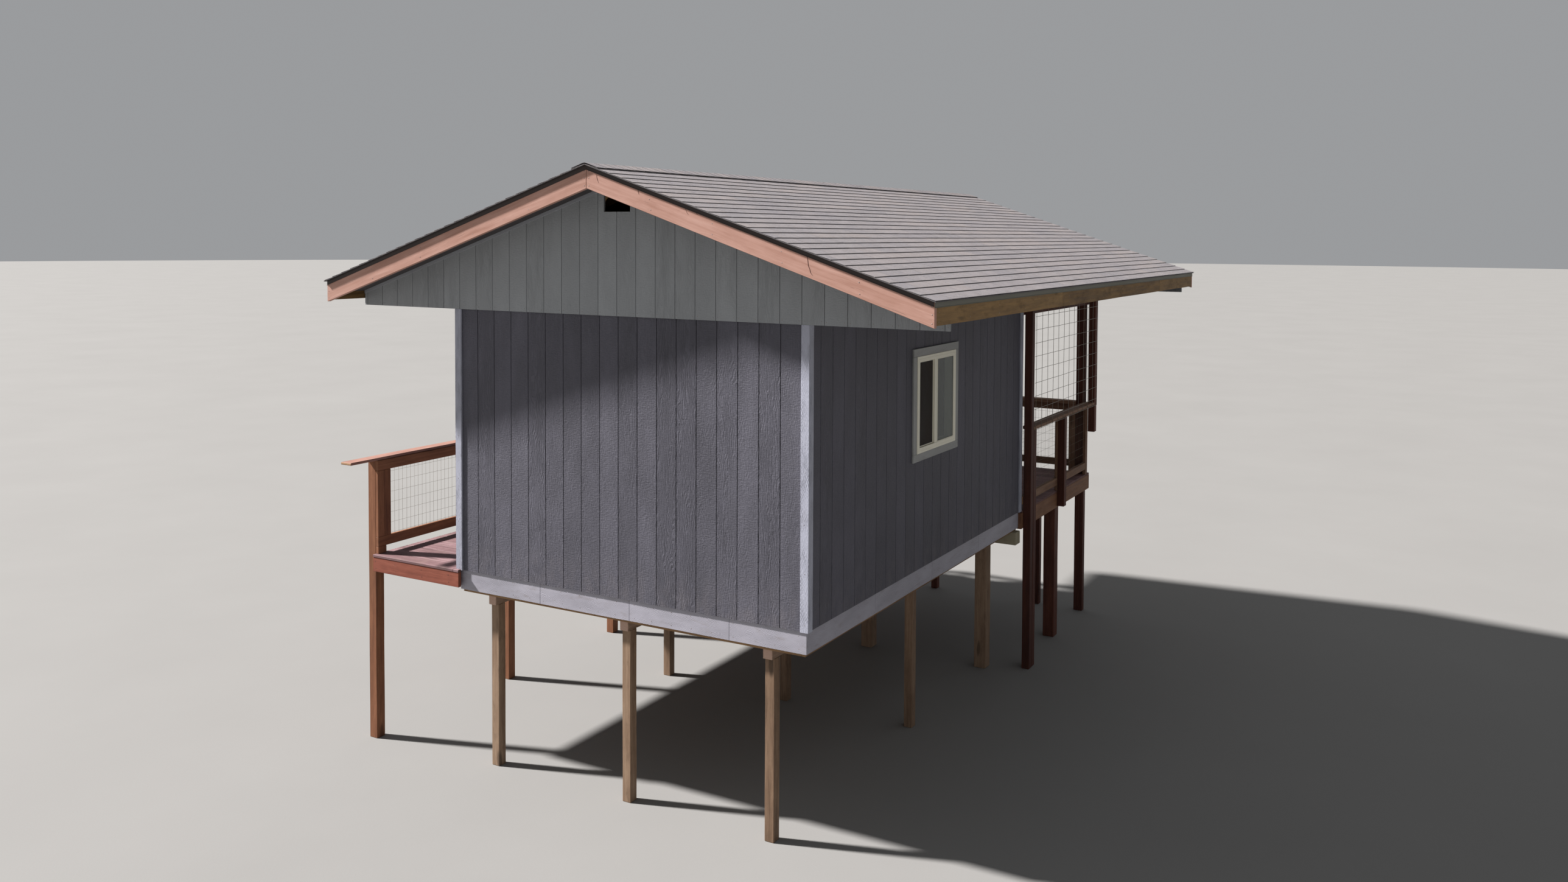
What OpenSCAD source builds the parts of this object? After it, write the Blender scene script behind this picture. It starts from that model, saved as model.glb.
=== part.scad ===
// A small gabled boathouse cabin on posts: grooved panel walls, a wide low
// gable roof that runs on over a lakeside porch, and a side deck with rails.
// House frame used inside the modules: x runs along the front wall from its
// left framing corner, y runs back towards the lake from the siding face of
// the front wall, z is up from the lower edge of the skirt boards.
// The origin of the finished part is under the middle of the roof, at foot level.

/* [House] */
// Width of the house framing along the front wall
front_w = 3732; // [3500:4:3960]
// Depth of the house framing, front wall to porch wall
house_d = 4897; // [4650:1:5150]
// Height of the wall panels above the floor
wall_h = 2450; // [2350:10:2550]
// Thickness of a finished wall
wall_t = 112; // [100:1:130]
// Height of the floor above the lower edge of the skirt
floor_z = 184; // [160:1:200]

/* [Roof] */
// Rise of the roof in 12 of run
roof_rise = 3.95; // [3.9:0.05:4.3]
// Eave overhang of the fascia beyond the framing
eave_over = 1270; // [1240:1:1300]
// Rake overhang in front of the front wall
rake_front = 420; // [380:1:480]
// Rake overhang behind the porch
rake_back = 380; // [320:1:480]
// Thickness of the shingle layer, measured plumb
shingle_t = 14; // [10:1:16]

/* [Porch] */
// Depth of the lakeside porch
porch_d = 2603; // [2403:50:2703]
// Width of the side deck
deck_w = 1100; // [1000:10:1160]
// Underside of the rail caps above the lower edge of the skirt
cap_z = 1112; // [1080:1:1150]
// Post size
post = 89; // [89:1:102]

/* [Legs] */
// Foot level below the lower edge of the skirt
leg_drop = 1640; // [1200:10:1900]

/* [Hidden] */

W = front_w;
xm = W / 2;
sid = 11;                       // siding thickness
y_h = sid + house_d;            // rear framing face
y_b = y_h + sid;                // rear siding face
trim = 19;                      // trim board thickness
z_w = floor_z + wall_h;         // top of the walls
slope = roof_rise / 12;
heel = 2892.7;                  // shingle plane above x = -1255
ridge_z = heel + (xm + 1255) * slope;
sh_o = shingle_t;               // underside of the shingles
sg_o = sh_o + 15;               // underside of the sheathing
so_o = 132;                     // underside of the rake soffit
ra_o = 208;                     // lower edge of the rake boards
x_el = -eave_over;              // outer face of the left fascia
x_er = W + eave_over;
x_gl = x_el + 49;               // ends of the gable cladding
x_gr = x_er - 49;
y_p = y_h + sid + porch_d - 11; // lake face of the porch joists
y_pr = y_p + 38;                // lake face of the porch rim
y_rf = -rake_front;             // outer face of the front rake boards
y_rb = y_p + rake_back;         // outer face of the rear rake boards
ym = (y_rf - 26 + y_rb + 26) / 2;
dk = floor_z + 11;              // top of the decking
dkt = 25;                       // decking thickness
g = 1;                          // joint gap between boards of one sub-part
bot_z = 264;                    // underside of the bottom rails
post_s = 100;                   // side deck posts, full sawn
post_c = 114;                   // width of the built-up lakeside corner posts
x_rr = W + 38;                  // outer face of the right porch rim
x_ro = x_rr + post;             // outer face of the right porch posts
wy0 = 2030;                     // window opening in the right wall
win = 914;
wz0 = 1293;
wx0 = xm - win / 2;             // window opening in the rear wall
dy0 = 2000;                     // door opening in the left wall
dw = 950;
dh = 2070;
z_c = z_w - 12;                 // underside of the ceilings
z_f = -24;                      // underside of the floor joists
skid_x = [353, 1882, 3343];
truss_n = 13;

function zr(x) = ridge_z - abs(x - xm) * slope;
z_e = zr(x_el) - 191;             // underside of the eave fascias and soffits

module house() translate([-xm, -ym, leg_drop]) children();
// box between two corners
module bx(x0, x1, y0, y1, z0, z1)
    translate([x0, y0, z0]) cube([x1 - x0, y1 - y0, z1 - z0]);
// outline in x and z, extruded from y0 to y1
module prism(y0, y1)
    translate([0, y1, 0]) rotate([90, 0, 0]) linear_extrude(y1 - y0) children();
// strip of the roof between two plumb depths under the shingle plane
module band(xa, xb, o0, o1)
    polygon([[xa, zr(xa) - o0], [xb, zr(xb) - o0], [xb, zr(xb) - o1], [xa, zr(xa) - o1]]);
// ring of boards around an opening, in a plane of constant x
module ring_x(x0, x1, y0, y1, z0, z1, w)
    difference() {
        bx(x0, x1, y0, y1, z0, z1);
        bx(x0 - 5, x1 + 5, y0 + w, y1 - w, z0 + w, z1 - w);
    }
module ring_y(x0, x1, y0, y1, z0, z1, w)
    difference() {
        bx(x0, x1, y0, y1, z0, z1);
        bx(x0 + w, x1 - w, y0 - 5, y1 + 5, z0 + w, z1 - w);
    }

// ---- foundation ----
// three timbers that carry the floor, front to back
module skids() color("tan") house()
    for (x = skid_x) bx(x - post / 2, x + post / 2, 55, 4742, z_f - post, z_f);

// beam under the rear wall
module rear_girder() color("lightgray") house()
    bx(-33, W + 33, 4742, 4882, -165, z_f);

// posts under the timbers and the beam
module house_piers() color("saddlebrown") house() {
    for (x = skid_x) {
        for (y = [90, 2780]) bx(x - post / 2, x + post / 2, y, y + post, -leg_drop, z_f - post);
        bx(x - 70, x + 70, 4742, 4882, -leg_drop, -165);
    }
}

// ---- floor ----
// the frame stands behind the skirt boards and shows as a strip below them
module floor_joists() color("peru") house() {
    bx(trim, trim + 38, sid + trim, y_h - trim, z_f, floor_z - 19);
    bx(W - trim - 38, W - trim, sid + trim, y_h - trim, z_f, floor_z - 19);
    for (i = [0:12]) {
        y = sid + trim + i * (house_d - 2 * trim - 38) / 12;
        bx(trim + 38 + g, W - trim - 38 - g, y, y + 38, z_f, floor_z - 19);
    }
}
module floor_deck() color("burlywood") house()
    bx(trim, W - trim, sid + trim, y_h - trim, floor_z - 19, floor_z);

// ---- walls ----
module front_wall() color([0.26, 0.26, 0.28]) house()
    bx(-sid, W + sid, 0, wall_t, floor_z, z_w);
module right_wall() color([0.26, 0.26, 0.28]) house()
    difference() {
        bx(W + sid - wall_t, W + sid, wall_t, y_b - wall_t, floor_z, z_w);
        bx(W - wall_t, W + 40, wy0, wy0 + win, wz0, wz0 + win);
    }
module left_wall() color([0.26, 0.26, 0.28]) house()
    difference() {
        bx(-sid, -sid + wall_t, wall_t, y_b - wall_t, floor_z, z_w);
        bx(-40, wall_t + 10, dy0, dy0 + dw, floor_z - 10, floor_z + dh);
    }
module back_wall() color([0.26, 0.26, 0.28]) house()
    difference() {
        bx(-sid, W + sid, y_b - wall_t, y_b, floor_z, z_w);
        bx(wx0, wx0 + win, y_b - wall_t - 10, y_b + 10, wz0, wz0 + win);
    }
module house_ceiling() color("wheat") house()
    bx(-sid + wall_t, W + sid - wall_t, wall_t, y_b - wall_t, z_c, z_w);

// corner boards, one board on each face of each corner
module corner(sx, sy) {
    x0 = sx > 0 ? W + sid : -sid;
    y0 = sy > 0 ? y_b : 0;
    top = sy > 0 ? z_c : z_w - 2;
    // board on the front or rear face
    bx(min(x0 + sx * trim, x0 - sx * 56), max(x0 + sx * trim, x0 - sx * 56),
       min(y0, y0 + sy * trim), max(y0, y0 + sy * trim), floor_z, top);
    // board on the side face
    bx(min(x0, x0 + sx * trim), max(x0, x0 + sx * trim),
       min(y0 - sy * g, y0 - sy * 56), max(y0 - sy * g, y0 - sy * 56), floor_z, z_e);
}
module corner_trims() color("lightslategray") house() {
    corner(-1, -1);
    corner(1, -1);
    corner(-1, 1);
    corner(1, 1);
}
// skirt boards on the floor frame, set back under the siding
module skirt_boards() color("lightslategray") house() {
    bx(0, W, sid, sid + trim, 0, floor_z);
    bx(0, W, y_h - trim, y_h, 0, floor_z);
    bx(0, trim, sid + trim + g, y_h - trim - g, 0, floor_z);
    bx(W - trim, W, sid + trim + g, y_h - trim - g, 0, floor_z);
}

// ---- windows ----
module window_casings() color("lightslategray") house() {
    ring_x(W + sid, W + sid + trim, wy0 - 75, wy0 + win + 75, wz0 - 75, wz0 + win + 75, 75);
    ring_y(wx0 - 75, wx0 + win + 75, y_b, y_b + trim, wz0 - 75, wz0 + win + 75, 75);
}
module window_frames() color("ivory") house() {
    ring_x(W - 69, W + 35, wy0, wy0 + win, wz0, wz0 + win, 52);
    bx(W - 69, W + 32, wy0 + 398, wy0 + 464, wz0 + 52, wz0 + win - 52);
    ring_y(wx0, wx0 + win, y_b - 80, y_b + 24, wz0, wz0 + win, 52);
    bx(wx0 + win - 464, wx0 + win - 398, y_b - 80, y_b + 21, wz0 + 52, wz0 + win - 52);
}
module window_sashes() color("ivory") house() {
    ring_x(W - 16, W + 16, wy0 + 53, wy0 + 397, wz0 + 53, wz0 + win - 53, 9);
    ring_y(wx0 + win - 397, wx0 + win - 53, y_b - 27, y_b + 5, wz0 + 53, wz0 + win - 53, 9);
}
module window_glass() color([0.55, 0.65, 0.7, 0.5]) house() {
    bx(W + 2, W + 8, wy0 + 62, wy0 + 388, wz0 + 62, wz0 + win - 62);
    bx(W + 22, W + 28, wy0 + 464, wy0 + win - 52, wz0 + 52, wz0 + win - 52);
    bx(wx0 + win - 388, wx0 + win - 62, y_b - 9, y_b - 3, wz0 + 62, wz0 + win - 62);
    bx(wx0 + 52, wx0 + win - 464, y_b + 11, y_b + 17, wz0 + 52, wz0 + win - 52);
}

// ---- door to the side deck ----
module door_frame() color("lightslategray") house() {
    // lining
    difference() {
        bx(-sid, -sid + wall_t, dy0, dy0 + dw, floor_z, floor_z + dh);
        bx(-sid - 5, -sid + wall_t + 5, dy0 + 18, dy0 + dw - 18, floor_z - 5, floor_z + dh - 18);
    }
    // sill
    bx(-sid - trim, -sid + wall_t, dy0 + 18, dy0 + dw - 18, floor_z, floor_z + 20);
    // casing on the outer face
    difference() {
        bx(-sid - trim, -sid, dy0 - 75, dy0 + dw + 75, floor_z, floor_z + dh + 75);
        bx(-sid - trim - 5, -sid + 5, dy0 + 12, dy0 + dw - 12, floor_z - 5, floor_z + dh - 12);
    }
}
module door_leaf() color("slategray") house()
    bx(0, 44, dy0 + 20, dy0 + dw - 20, floor_z + 22, floor_z + dh - 20);
module door_knob() color("silver") house()
    translate([0, dy0 + dw - 90, floor_z + 960]) rotate([0, -90, 0]) {
        cylinder(d = 60, h = 6, $fn = 48);
        cylinder(d = 24, h = 34, $fn = 32);
        translate([0, 0, 44]) sphere(d = 54, $fn = 48);
    }

// ---- roof ----
// one roof truss: top chords, bottom chord, webs, heel studs and lookouts
module truss_2d() {
    band(x_el + 38, xm, sg_o, sg_o + 94);
    band(xm, x_er - 38, sg_o, sg_o + 94);
    polygon([[0, z_w], [W, z_w], [W, z_w + 89], [0, z_w + 89]]);
    for (s = [-1, 1]) {
        polygon([[xm, zr(xm) - sg_o - 80], [xm + s * 1016, z_w + 80],
                 [xm + s * 1110, z_w + 80], [xm + s * 94, zr(xm + 94) - sg_o - 80]]);
        polygon([[xm + s * 1524, zr(xm + 1524) - sg_o - 80], [xm + s * 1016, z_w + 80],
                 [xm + s * 1110, z_w + 80], [xm + s * 1618, zr(xm + 1618) - sg_o - 80]]);
        polygon([[xm + s * xm, z_w + 5], [xm + s * (xm - 38), z_w + 5],
                 [xm + s * (xm - 38), zr(38) - sg_o - 60], [xm + s * xm, zr(0) - sg_o - 60]]);
        polygon([[xm + s * (xm - x_el - 38), z_e + 12], [xm + s * (xm - 89), z_e + 12],
                 [xm + s * (xm - 89), z_e + 101], [xm + s * (xm - x_el - 38), z_e + 101]]);
    }
}
module roof_trusses() color("burlywood") house()
    for (i = [0:truss_n - 1]) {
        y = sid + i * (y_p - 49 - sid) / (truss_n - 1);
        prism(y, y + 38) truss_2d();
    }
module sheathing_left() color("burlywood") house()
    prism(y_rf + 38, y_rb - 38) band(x_el + 38, xm, sh_o, sg_o);
module sheathing_right() color("burlywood") house()
    prism(y_rf + 38, y_rb - 38) band(xm, x_er - 38, sh_o, sg_o);
module shingles_left() color("dimgray") house()
    prism(y_rf - 26, y_rb + 26) band(x_el - 20, xm, 0, sh_o);
module shingles_right() color("dimgray") house()
    prism(y_rf - 26, y_rb + 26) band(xm, x_er + 20, 0, sh_o);
module ridge_cap() color("dimgray") house()
    prism(y_rf - 26, y_rb + 26) for (s = [-1, 1])
        polygon([[xm + s * g / 2, zr(xm) + 8], [xm + s * 140, zr(xm + 140) + 8],
                 [xm + s * 140, zr(xm + 140)], [xm + s * g / 2, zr(xm)]]);
// metal edges: a flange over each fascia and each rake board
module drip_edges() color("gray") house() {
    zt = zr(x_el) - sh_o - 2;
    bx(x_el - 2.4, x_el, y_rf, y_rb, zr(x_el) - 60, zt);
    bx(x_er, x_er + 2.4, y_rf, y_rb, zr(x_el) - 60, zt);
    for (y = [y_rf - 2.4, y_rb]) {
        prism(y, y + 2.4) band(x_el + 3, xm - 1, sh_o + 1, 52);
        prism(y, y + 2.4) band(xm + 1, x_er - 3, sh_o + 1, 52);
    }
}
module eave_fascias() color([0.55, 0.42, 0.28]) house() {
    z1 = zr(x_el) - sh_o - 2;
    bx(x_el, x_el + 38, y_rf + 38, y_rb - 38, z_e, z1);
    bx(x_er - 38, x_er, y_rf + 38, y_rb - 38, z_e, z1);
}
module rake_pair(y0, y1) {
    prism(y0, y1) band(x_el, xm - 1, sh_o, ra_o);
    prism(y0, y1) band(xm + 1, x_er, sh_o, ra_o);
}
module rake_boards_front() color([0.73, 0.55, 0.47]) house() rake_pair(y_rf, y_rf + 38);
module rake_boards_back() color([0.73, 0.55, 0.47]) house() rake_pair(y_rb - 38, y_rb);
// panels under the rake overhangs
module rake_soffits() color([0.2, 0.2, 0.22]) house()
    for (y = [[y_rf + 38, -trim], [y_p + trim, y_rb - 38]]) {
        prism(y[0], y[1]) band(x_el + 38, xm - 1, so_o - 11, so_o);
        prism(y[0], y[1]) band(xm + 1, x_er - 38, so_o - 11, so_o);
    }
// flat panels under the eaves, and the strips that close the walls up to them
module eave_soffits() color([0.2, 0.2, 0.22]) house() {
    bx(x_el + 38, -sid - g, 0, y_p, z_e, z_e + 12);
    bx(W + sid + g, x_er - 38, 0, y_p, z_e, z_e + 12);
    bx(-sid, 0, 0, y_b, z_w, z_e + 12);
    bx(W, W + sid, 0, y_b, z_w, z_e + 12);
    bx(-38, -27, y_b + g, y_p, z_w, z_e - g);
    bx(W + 27, W + 38, y_b + g, y_p, z_w, z_e - g);
}
module porch_ceiling() color("peru") house()
    bx(-38, W + 38, y_b, y_p, z_c, z_w);
// gable cladding with its vent opening
module gable(y0)
    prism(y0, y0 + trim) difference() {
        polygon([[x_gl, z_w - 2], [x_gr, z_w - 2], [x_gr, zr(x_gr) - so_o], [xm, zr(xm) - so_o], [x_gl, zr(x_gl) - so_o]]);
        translate([xm - 141, 3526]) square([282, 150]);
    }
module gable_front() color([0.5, 0.51, 0.53]) house() gable(-trim);
module gable_back() color([0.5, 0.51, 0.53]) house() gable(y_p);
// narrow trims along the top of the gable cladding
module gable_trims() color([0.6, 0.61, 0.62]) house()
    for (y = [-trim - 9, y_p + trim]) {
        prism(y, y + 9) band(x_gl, xm - 1, so_o, so_o + 30);
        prism(y, y + 9) band(xm + 1, x_gr, so_o, so_o + 30);
    }

// ---- lakeside porch ----
z_j = dk - dkt;                 // top of the deck joists
module porch_posts() color([0.33, 0.17, 0.12]) house() {
    // full height posts beside the rear corners of the house
    bx(x_rr, x_ro, 4966, 4966 + post, -leg_drop, z_e);
    bx(-38 - post, -38, 4966, 4966 + post, -leg_drop, z_e);
    // rail post beside the right one
    bx(x_rr, x_ro, 4977 + post, 4977 + 2 * post, -leg_drop, cap_z);
    // full height lakeside corner posts
    bx(W - post_c, W, y_p - post, y_p, -leg_drop, z_c);
    bx(0, post_c, y_p - post, y_p, -leg_drop, z_c);
    // screen post that hangs from the roof at the lakeside corner
    bx(x_rr, x_ro, y_pr - post, y_pr, 755, z_w - 2);
    // rail post hung on the outside of the rim
    bx(x_rr, x_ro, 6202, 6202 + post, 5, cap_z);
    // support under the middle of the right rim
    bx(W - 128, W + 12, 6202, 6342, -leg_drop, z_j - 184);
    // supports under the lakeside rim
    for (x = [1597, 3090]) bx(x - post / 2, x + post / 2, y_p - post, y_p, -leg_drop, z_j - 184);
}
module porch_beams() color([0.4, 0.24, 0.16]) house() {
    bx(W, W + 38, y_b + trim, y_pr, z_c - 184, z_c);
    bx(-38, 0, y_b + trim, y_pr, z_c - 184, z_c);
}
// ledger, rims and joists of the porch floor
module porch_frame() color([0.42, 0.26, 0.18]) house() {
    y0 = y_h;
    x0 = -deck_w;
    difference() {
        union() {
            bx(x0, x_rr, y0, y0 + 38, z_j - 184, z_j);
            bx(x0, x_rr, y_p, y_pr, z_j - 184, z_j);
            bx(x0, x0 + 38, y0, y_pr, z_j - 184, z_j);
            bx(W, x_rr, y0, y_pr, z_j - 184, z_j);
            for (i = [1:11]) {
                x = x0 + i * (W - x0) / 12;
                bx(x, x + 38, y0 + 38, y_p, z_j - 184, z_j);
            }
        }
        // notches for the corner posts
        bx(W - post_c - 1, W, y_p - post - 1, y_p, z_j - 200, z_j + 10);
        bx(0, post_c + 1, y_p - post - 1, y_p, z_j - 200, z_j + 10);
    }
}
module porch_decking() color([0.42, 0.25, 0.22]) house()
    difference() {
        bx(-deck_w, x_rr, y_b + trim, y_pr, z_j, dk);
        bx(W - post_c - 2, W + 2, y_p - post - 2, y_p + 2, z_j - 10, dk + 10);
        bx(-2, post_c + 2, y_p - post - 2, y_p + 2, z_j - 10, dk + 10);
        bx(-40 - post, -36, 4964, 4968 + post, z_j - 10, dk + 10);
    }
// rails of the right side and the lakeside
module porch_rails() color([0.45, 0.28, 0.2]) house() {
    // right side: flat cap on the posts
    bx(x_ro - 140, x_ro, 4977 + post, y_pr - post - 1, cap_z, cap_z + 38);
    // right side: bottom rails in the plane of the rim, with a middle and an end stud
    bx(W, x_rr, y_b + trim, 6202 - g, bot_z, bot_z + 89);
    bx(W, x_rr, 6202 + post + g, y_pr - 2 * post - 1, bot_z, bot_z + 89);
    bx(W, x_rr, 6202, 6202 + post, dk, cap_z - g);
    bx(W, x_rr, y_pr - 2 * post, y_pr - post, dk, cap_z - g);
    // lakeside: posts, sub rail, bottom rail and caps
    for (x = [post_c + 25, xm - post / 2, W - post_c - 6 - post])
        bx(x, x + post, y_p - post, y_p - g, dk, cap_z - g);
    bx(-deck_w + 38, W - 1, y_p, y_p + 38, cap_z - 100, cap_z - g);
    bx(-deck_w + 38, W - 1, y_p, y_p + 38, bot_z, bot_z + 89);
    bx(post_c + 1, W - post_c - 1, y_p - 102, y_p + 38, cap_z, cap_z + 38);
    bx(-deck_w - 112, -1, y_p - 102, y_p + 38, cap_z, cap_z + cap_s);
}
// coarse wire panel from the cap to the roof, on the right side
module porch_screen() color("dimgray") house() {
    for (i = [0:12]) {
        y = 7541 - i * 203.2;
        bx(x_ro, x_ro + 5, y, y + 5, cap_z - 7, z_w - 4);
    }
    for (i = [0:9]) bx(x_ro, x_ro + 5, 5066, y_pr, 2564 - i * 152.4, 2569 - i * 152.4);
    bx(x_ro, x_ro + 5, 5066, y_pr, cap_z - 7, cap_z - 2);
}
// fine wire mesh under the rails, as thin sheets
module porch_rail_mesh() color([0.35, 0.35, 0.35, 0.4]) house() {
    z0 = bot_z + 89;
    bx(x_rr - 20, x_rr - 17.5, y_b + trim, 6202 - g, z0, cap_z);
    bx(x_rr - 20, x_rr - 17.5, 6202 + post + g, y_pr - 2 * post - 1, z0, cap_z);
    bx(-deck_w + 40, W - 2, y_p + 18, y_p + 20.5, z0, cap_z - 100);
}

// ---- side deck ----
cap_s = 25;                     // thickness of the side deck cap
module side_deck_frame() color([0.45, 0.27, 0.2]) house() {
    // fascia across the front, on past the corner of the house
    bx(-deck_w, 34, -57, -19, z_j - 140, z_j);
    // rim, joists and ledger
    for (i = [0:3]) {
        x = -deck_w + i * (deck_w - 38) / 3;
        bx(x, x + 38, -19, y_h, z_j - 140, z_j);
    }
}
module side_decking() color([0.42, 0.25, 0.22]) house() {
    bx(-deck_w, -33, -57, y_b + trim, z_j, dk);
    bx(-33, 34, -57, -21, z_j, dk);
}
module side_deck_posts() color([0.5, 0.3, 0.19]) house() {
    x0 = -deck_w - post_s;
    for (y = [-19, 1814, 3647, 5480, y_pr - post_s])
        bx(x0, x0 + post_s, y, y + post_s, -leg_drop, cap_z);
}
module side_rails() color([0.5, 0.3, 0.2]) house() {
    x0 = -deck_w;
    // sub rail, bottom rail and the filler boards above and below it at the front post
    bx(x0, x0 + 38, -19, y_p - 103, cap_z - 100, cap_z - g);
    bx(x0, x0 + 38, -19, y_p - g, bot_z, bot_z + 96);
    bx(x0, x0 + 38, -19, 139, bot_z + 96 + g, cap_z - 100 - g);
    bx(x0, x0 + 38, -19, 81, dk, bot_z - g);
    // cap
    bx(x0 - 112, x0 + 28, -331, y_p - 103, cap_z, cap_z + cap_s);
}
module side_rail_mesh() color([0.35, 0.35, 0.35, 0.4]) house()
    bx(-deck_w + 18, -deck_w + 20.5, 139, y_p - 103, bot_z + 96, cap_z - 100);

skids();
rear_girder();
house_piers();
floor_joists();
floor_deck();
front_wall();
right_wall();
left_wall();
back_wall();
house_ceiling();
corner_trims();
skirt_boards();
window_casings();
window_frames();
window_sashes();
window_glass();
door_frame();
door_leaf();
door_knob();
roof_trusses();
sheathing_left();
sheathing_right();
shingles_left();
shingles_right();
ridge_cap();
drip_edges();
eave_fascias();
rake_boards_front();
rake_boards_back();
rake_soffits();
eave_soffits();
porch_ceiling();
gable_front();
gable_back();
gable_trims();
porch_posts();
porch_beams();
porch_frame();
porch_decking();
porch_rails();
porch_screen();
porch_rail_mesh();
side_deck_frame();
side_decking();
side_deck_posts();
side_rails();
side_rail_mesh();
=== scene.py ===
import math
import random

import bpy
import bmesh
import numpy as np
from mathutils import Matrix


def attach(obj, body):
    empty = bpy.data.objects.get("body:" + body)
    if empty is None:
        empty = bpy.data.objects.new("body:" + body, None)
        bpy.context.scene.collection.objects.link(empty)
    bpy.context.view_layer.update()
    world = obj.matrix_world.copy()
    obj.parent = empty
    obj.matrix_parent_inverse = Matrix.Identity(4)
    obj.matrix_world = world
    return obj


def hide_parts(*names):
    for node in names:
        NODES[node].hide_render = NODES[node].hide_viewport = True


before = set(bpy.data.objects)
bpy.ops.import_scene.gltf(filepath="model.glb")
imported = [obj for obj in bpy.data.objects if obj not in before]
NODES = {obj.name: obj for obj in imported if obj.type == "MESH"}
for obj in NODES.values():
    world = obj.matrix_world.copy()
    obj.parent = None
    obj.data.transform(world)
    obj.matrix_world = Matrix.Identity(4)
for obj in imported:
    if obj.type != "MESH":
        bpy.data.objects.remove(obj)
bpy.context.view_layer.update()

rnd = random.Random(41)

# ---------------------------------------------------------------- numbers
# Millimetres in the house frame: x along the front wall from the left framing
# corner, y back towards the lake from the front siding face, z up from the
# lower edge of the skirt boards. P() turns them into object metres.
W, XM, YM, DROP = 3732.0, 1866.0, 3735.5, 1640.0
SID, TRIM, WALL = 11.0, 19.0, 112.0
Y_H, Y_B, Y_P, Y_PR = 4908.0, 4919.0, 7511.0, 7549.0
FLOOR, Z_W, Z_C, Z_F = 184.0, 2634.0, 2622.0, -24.0
SL = 3.95 / 12.0
RZ = 2892.7 + (XM + 1255.0) * SL
X_EL, X_ER, X_GL, X_GR = -1270.0, 5002.0, -1221.0, 4953.0
Y_RF, Y_RB = -420.0, 7891.0
Y_S0, Y_S1 = Y_RF - 26.0, Y_RB + 26.0
SO, RA = 132.0, 208.0
DK, DKT, CAP, BOT = 195.0, 25.0, 1112.0, 264.0
POST, POST_S, POST_C = 89.0, 100.0, 114.0
DECK_W = 1100.0
X_RR, X_RO = W + 38.0, W + 38.0 + POST
Z_J = DK - DKT
WY0, WIN, WZ0 = 2030.0, 914.0, 1293.0
WX0 = XM - WIN / 2
DY0, DW, DH = 2000.0, 950.0, 2070.0
G0, GP = 34.0, 203.2          # first groove of the front wall, groove spacing
GS = 0.5                      # first groove of the side walls


def zr(x):
    return RZ - abs(x - XM) * SL


Z_E = zr(X_EL) - 191.0


def P(v):
    v = np.asarray(v, float)
    return (v - np.array([XM, YM, -DROP])) / 1000.0


# ---------------------------------------------------------------- mesh making
class Solid:
    """Collects closed pieces of one joined mesh, with grain coordinates (gc),
    one tone for each board and a mark on its cut ends."""

    def __init__(self):
        self.v, self.gc, self.tone, self.end = [], [], [], []
        self.f, self.mi, self.sm = [], [], []
        self.n = 0

    def add(self, v, f, gc, tone, end=None, mi=0, smooth=False):
        b = self.n
        self.v.append(np.asarray(v, float))
        self.gc.append(np.asarray(gc, float))
        self.tone.append(np.full(len(v), tone))
        self.end.append(np.zeros(len(v)) if end is None else np.asarray(end, float))
        self.f.extend([b + i for i in q] for q in f)
        self.mi.extend([mi] * len(f) if isinstance(mi, int) else mi)
        self.sm.extend([smooth] * len(f))
        self.n += len(v)

    def make(self, name, mats, slot, replaces=(), recalc=False, weld=0.0):
        me = bpy.data.meshes.new(name)
        me.from_pydata(P(np.vstack(self.v)).tolist(), [], self.f)
        a = me.attributes.new("gc", "FLOAT_VECTOR", "POINT")
        a.data.foreach_set("vector", np.vstack(self.gc).astype(np.float32).ravel())
        a = me.attributes.new("tone", "FLOAT", "POINT")
        a.data.foreach_set("value", np.concatenate(self.tone).astype(np.float32))
        # on shingle tabs and ridge caps 'cut' marks the lower layer, which the shingle material darkens as painted
        # shade
        a = me.attributes.new("cut", "FLOAT", "POINT")
        a.data.foreach_set("value", np.concatenate(self.end).astype(np.float32))
        me.polygons.foreach_set("material_index", self.mi)
        me.polygons.foreach_set("use_smooth", self.sm)
        if recalc or weld:
            bm = bmesh.new()
            bm.from_mesh(me)
            if weld:
                bmesh.ops.remove_doubles(bm, verts=bm.verts, dist=weld / 1000.0)
                bmesh.ops.dissolve_degenerate(bm, edges=bm.edges, dist=1e-6)
            bmesh.ops.recalc_face_normals(bm, faces=bm.faces)
            bm.to_mesh(me)
            bm.free()
        me.validate()
        me.update()
        ob = bpy.data.objects.new(name, me)
        bpy.context.scene.collection.objects.link(ob)
        for m in mats if isinstance(mats, (list, tuple)) else [mats]:
            me.materials.append(m)
        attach(ob, "root")
        if replaces:
            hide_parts(*([replaces] if isinstance(replaces, str) else replaces))
        return ob


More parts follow.
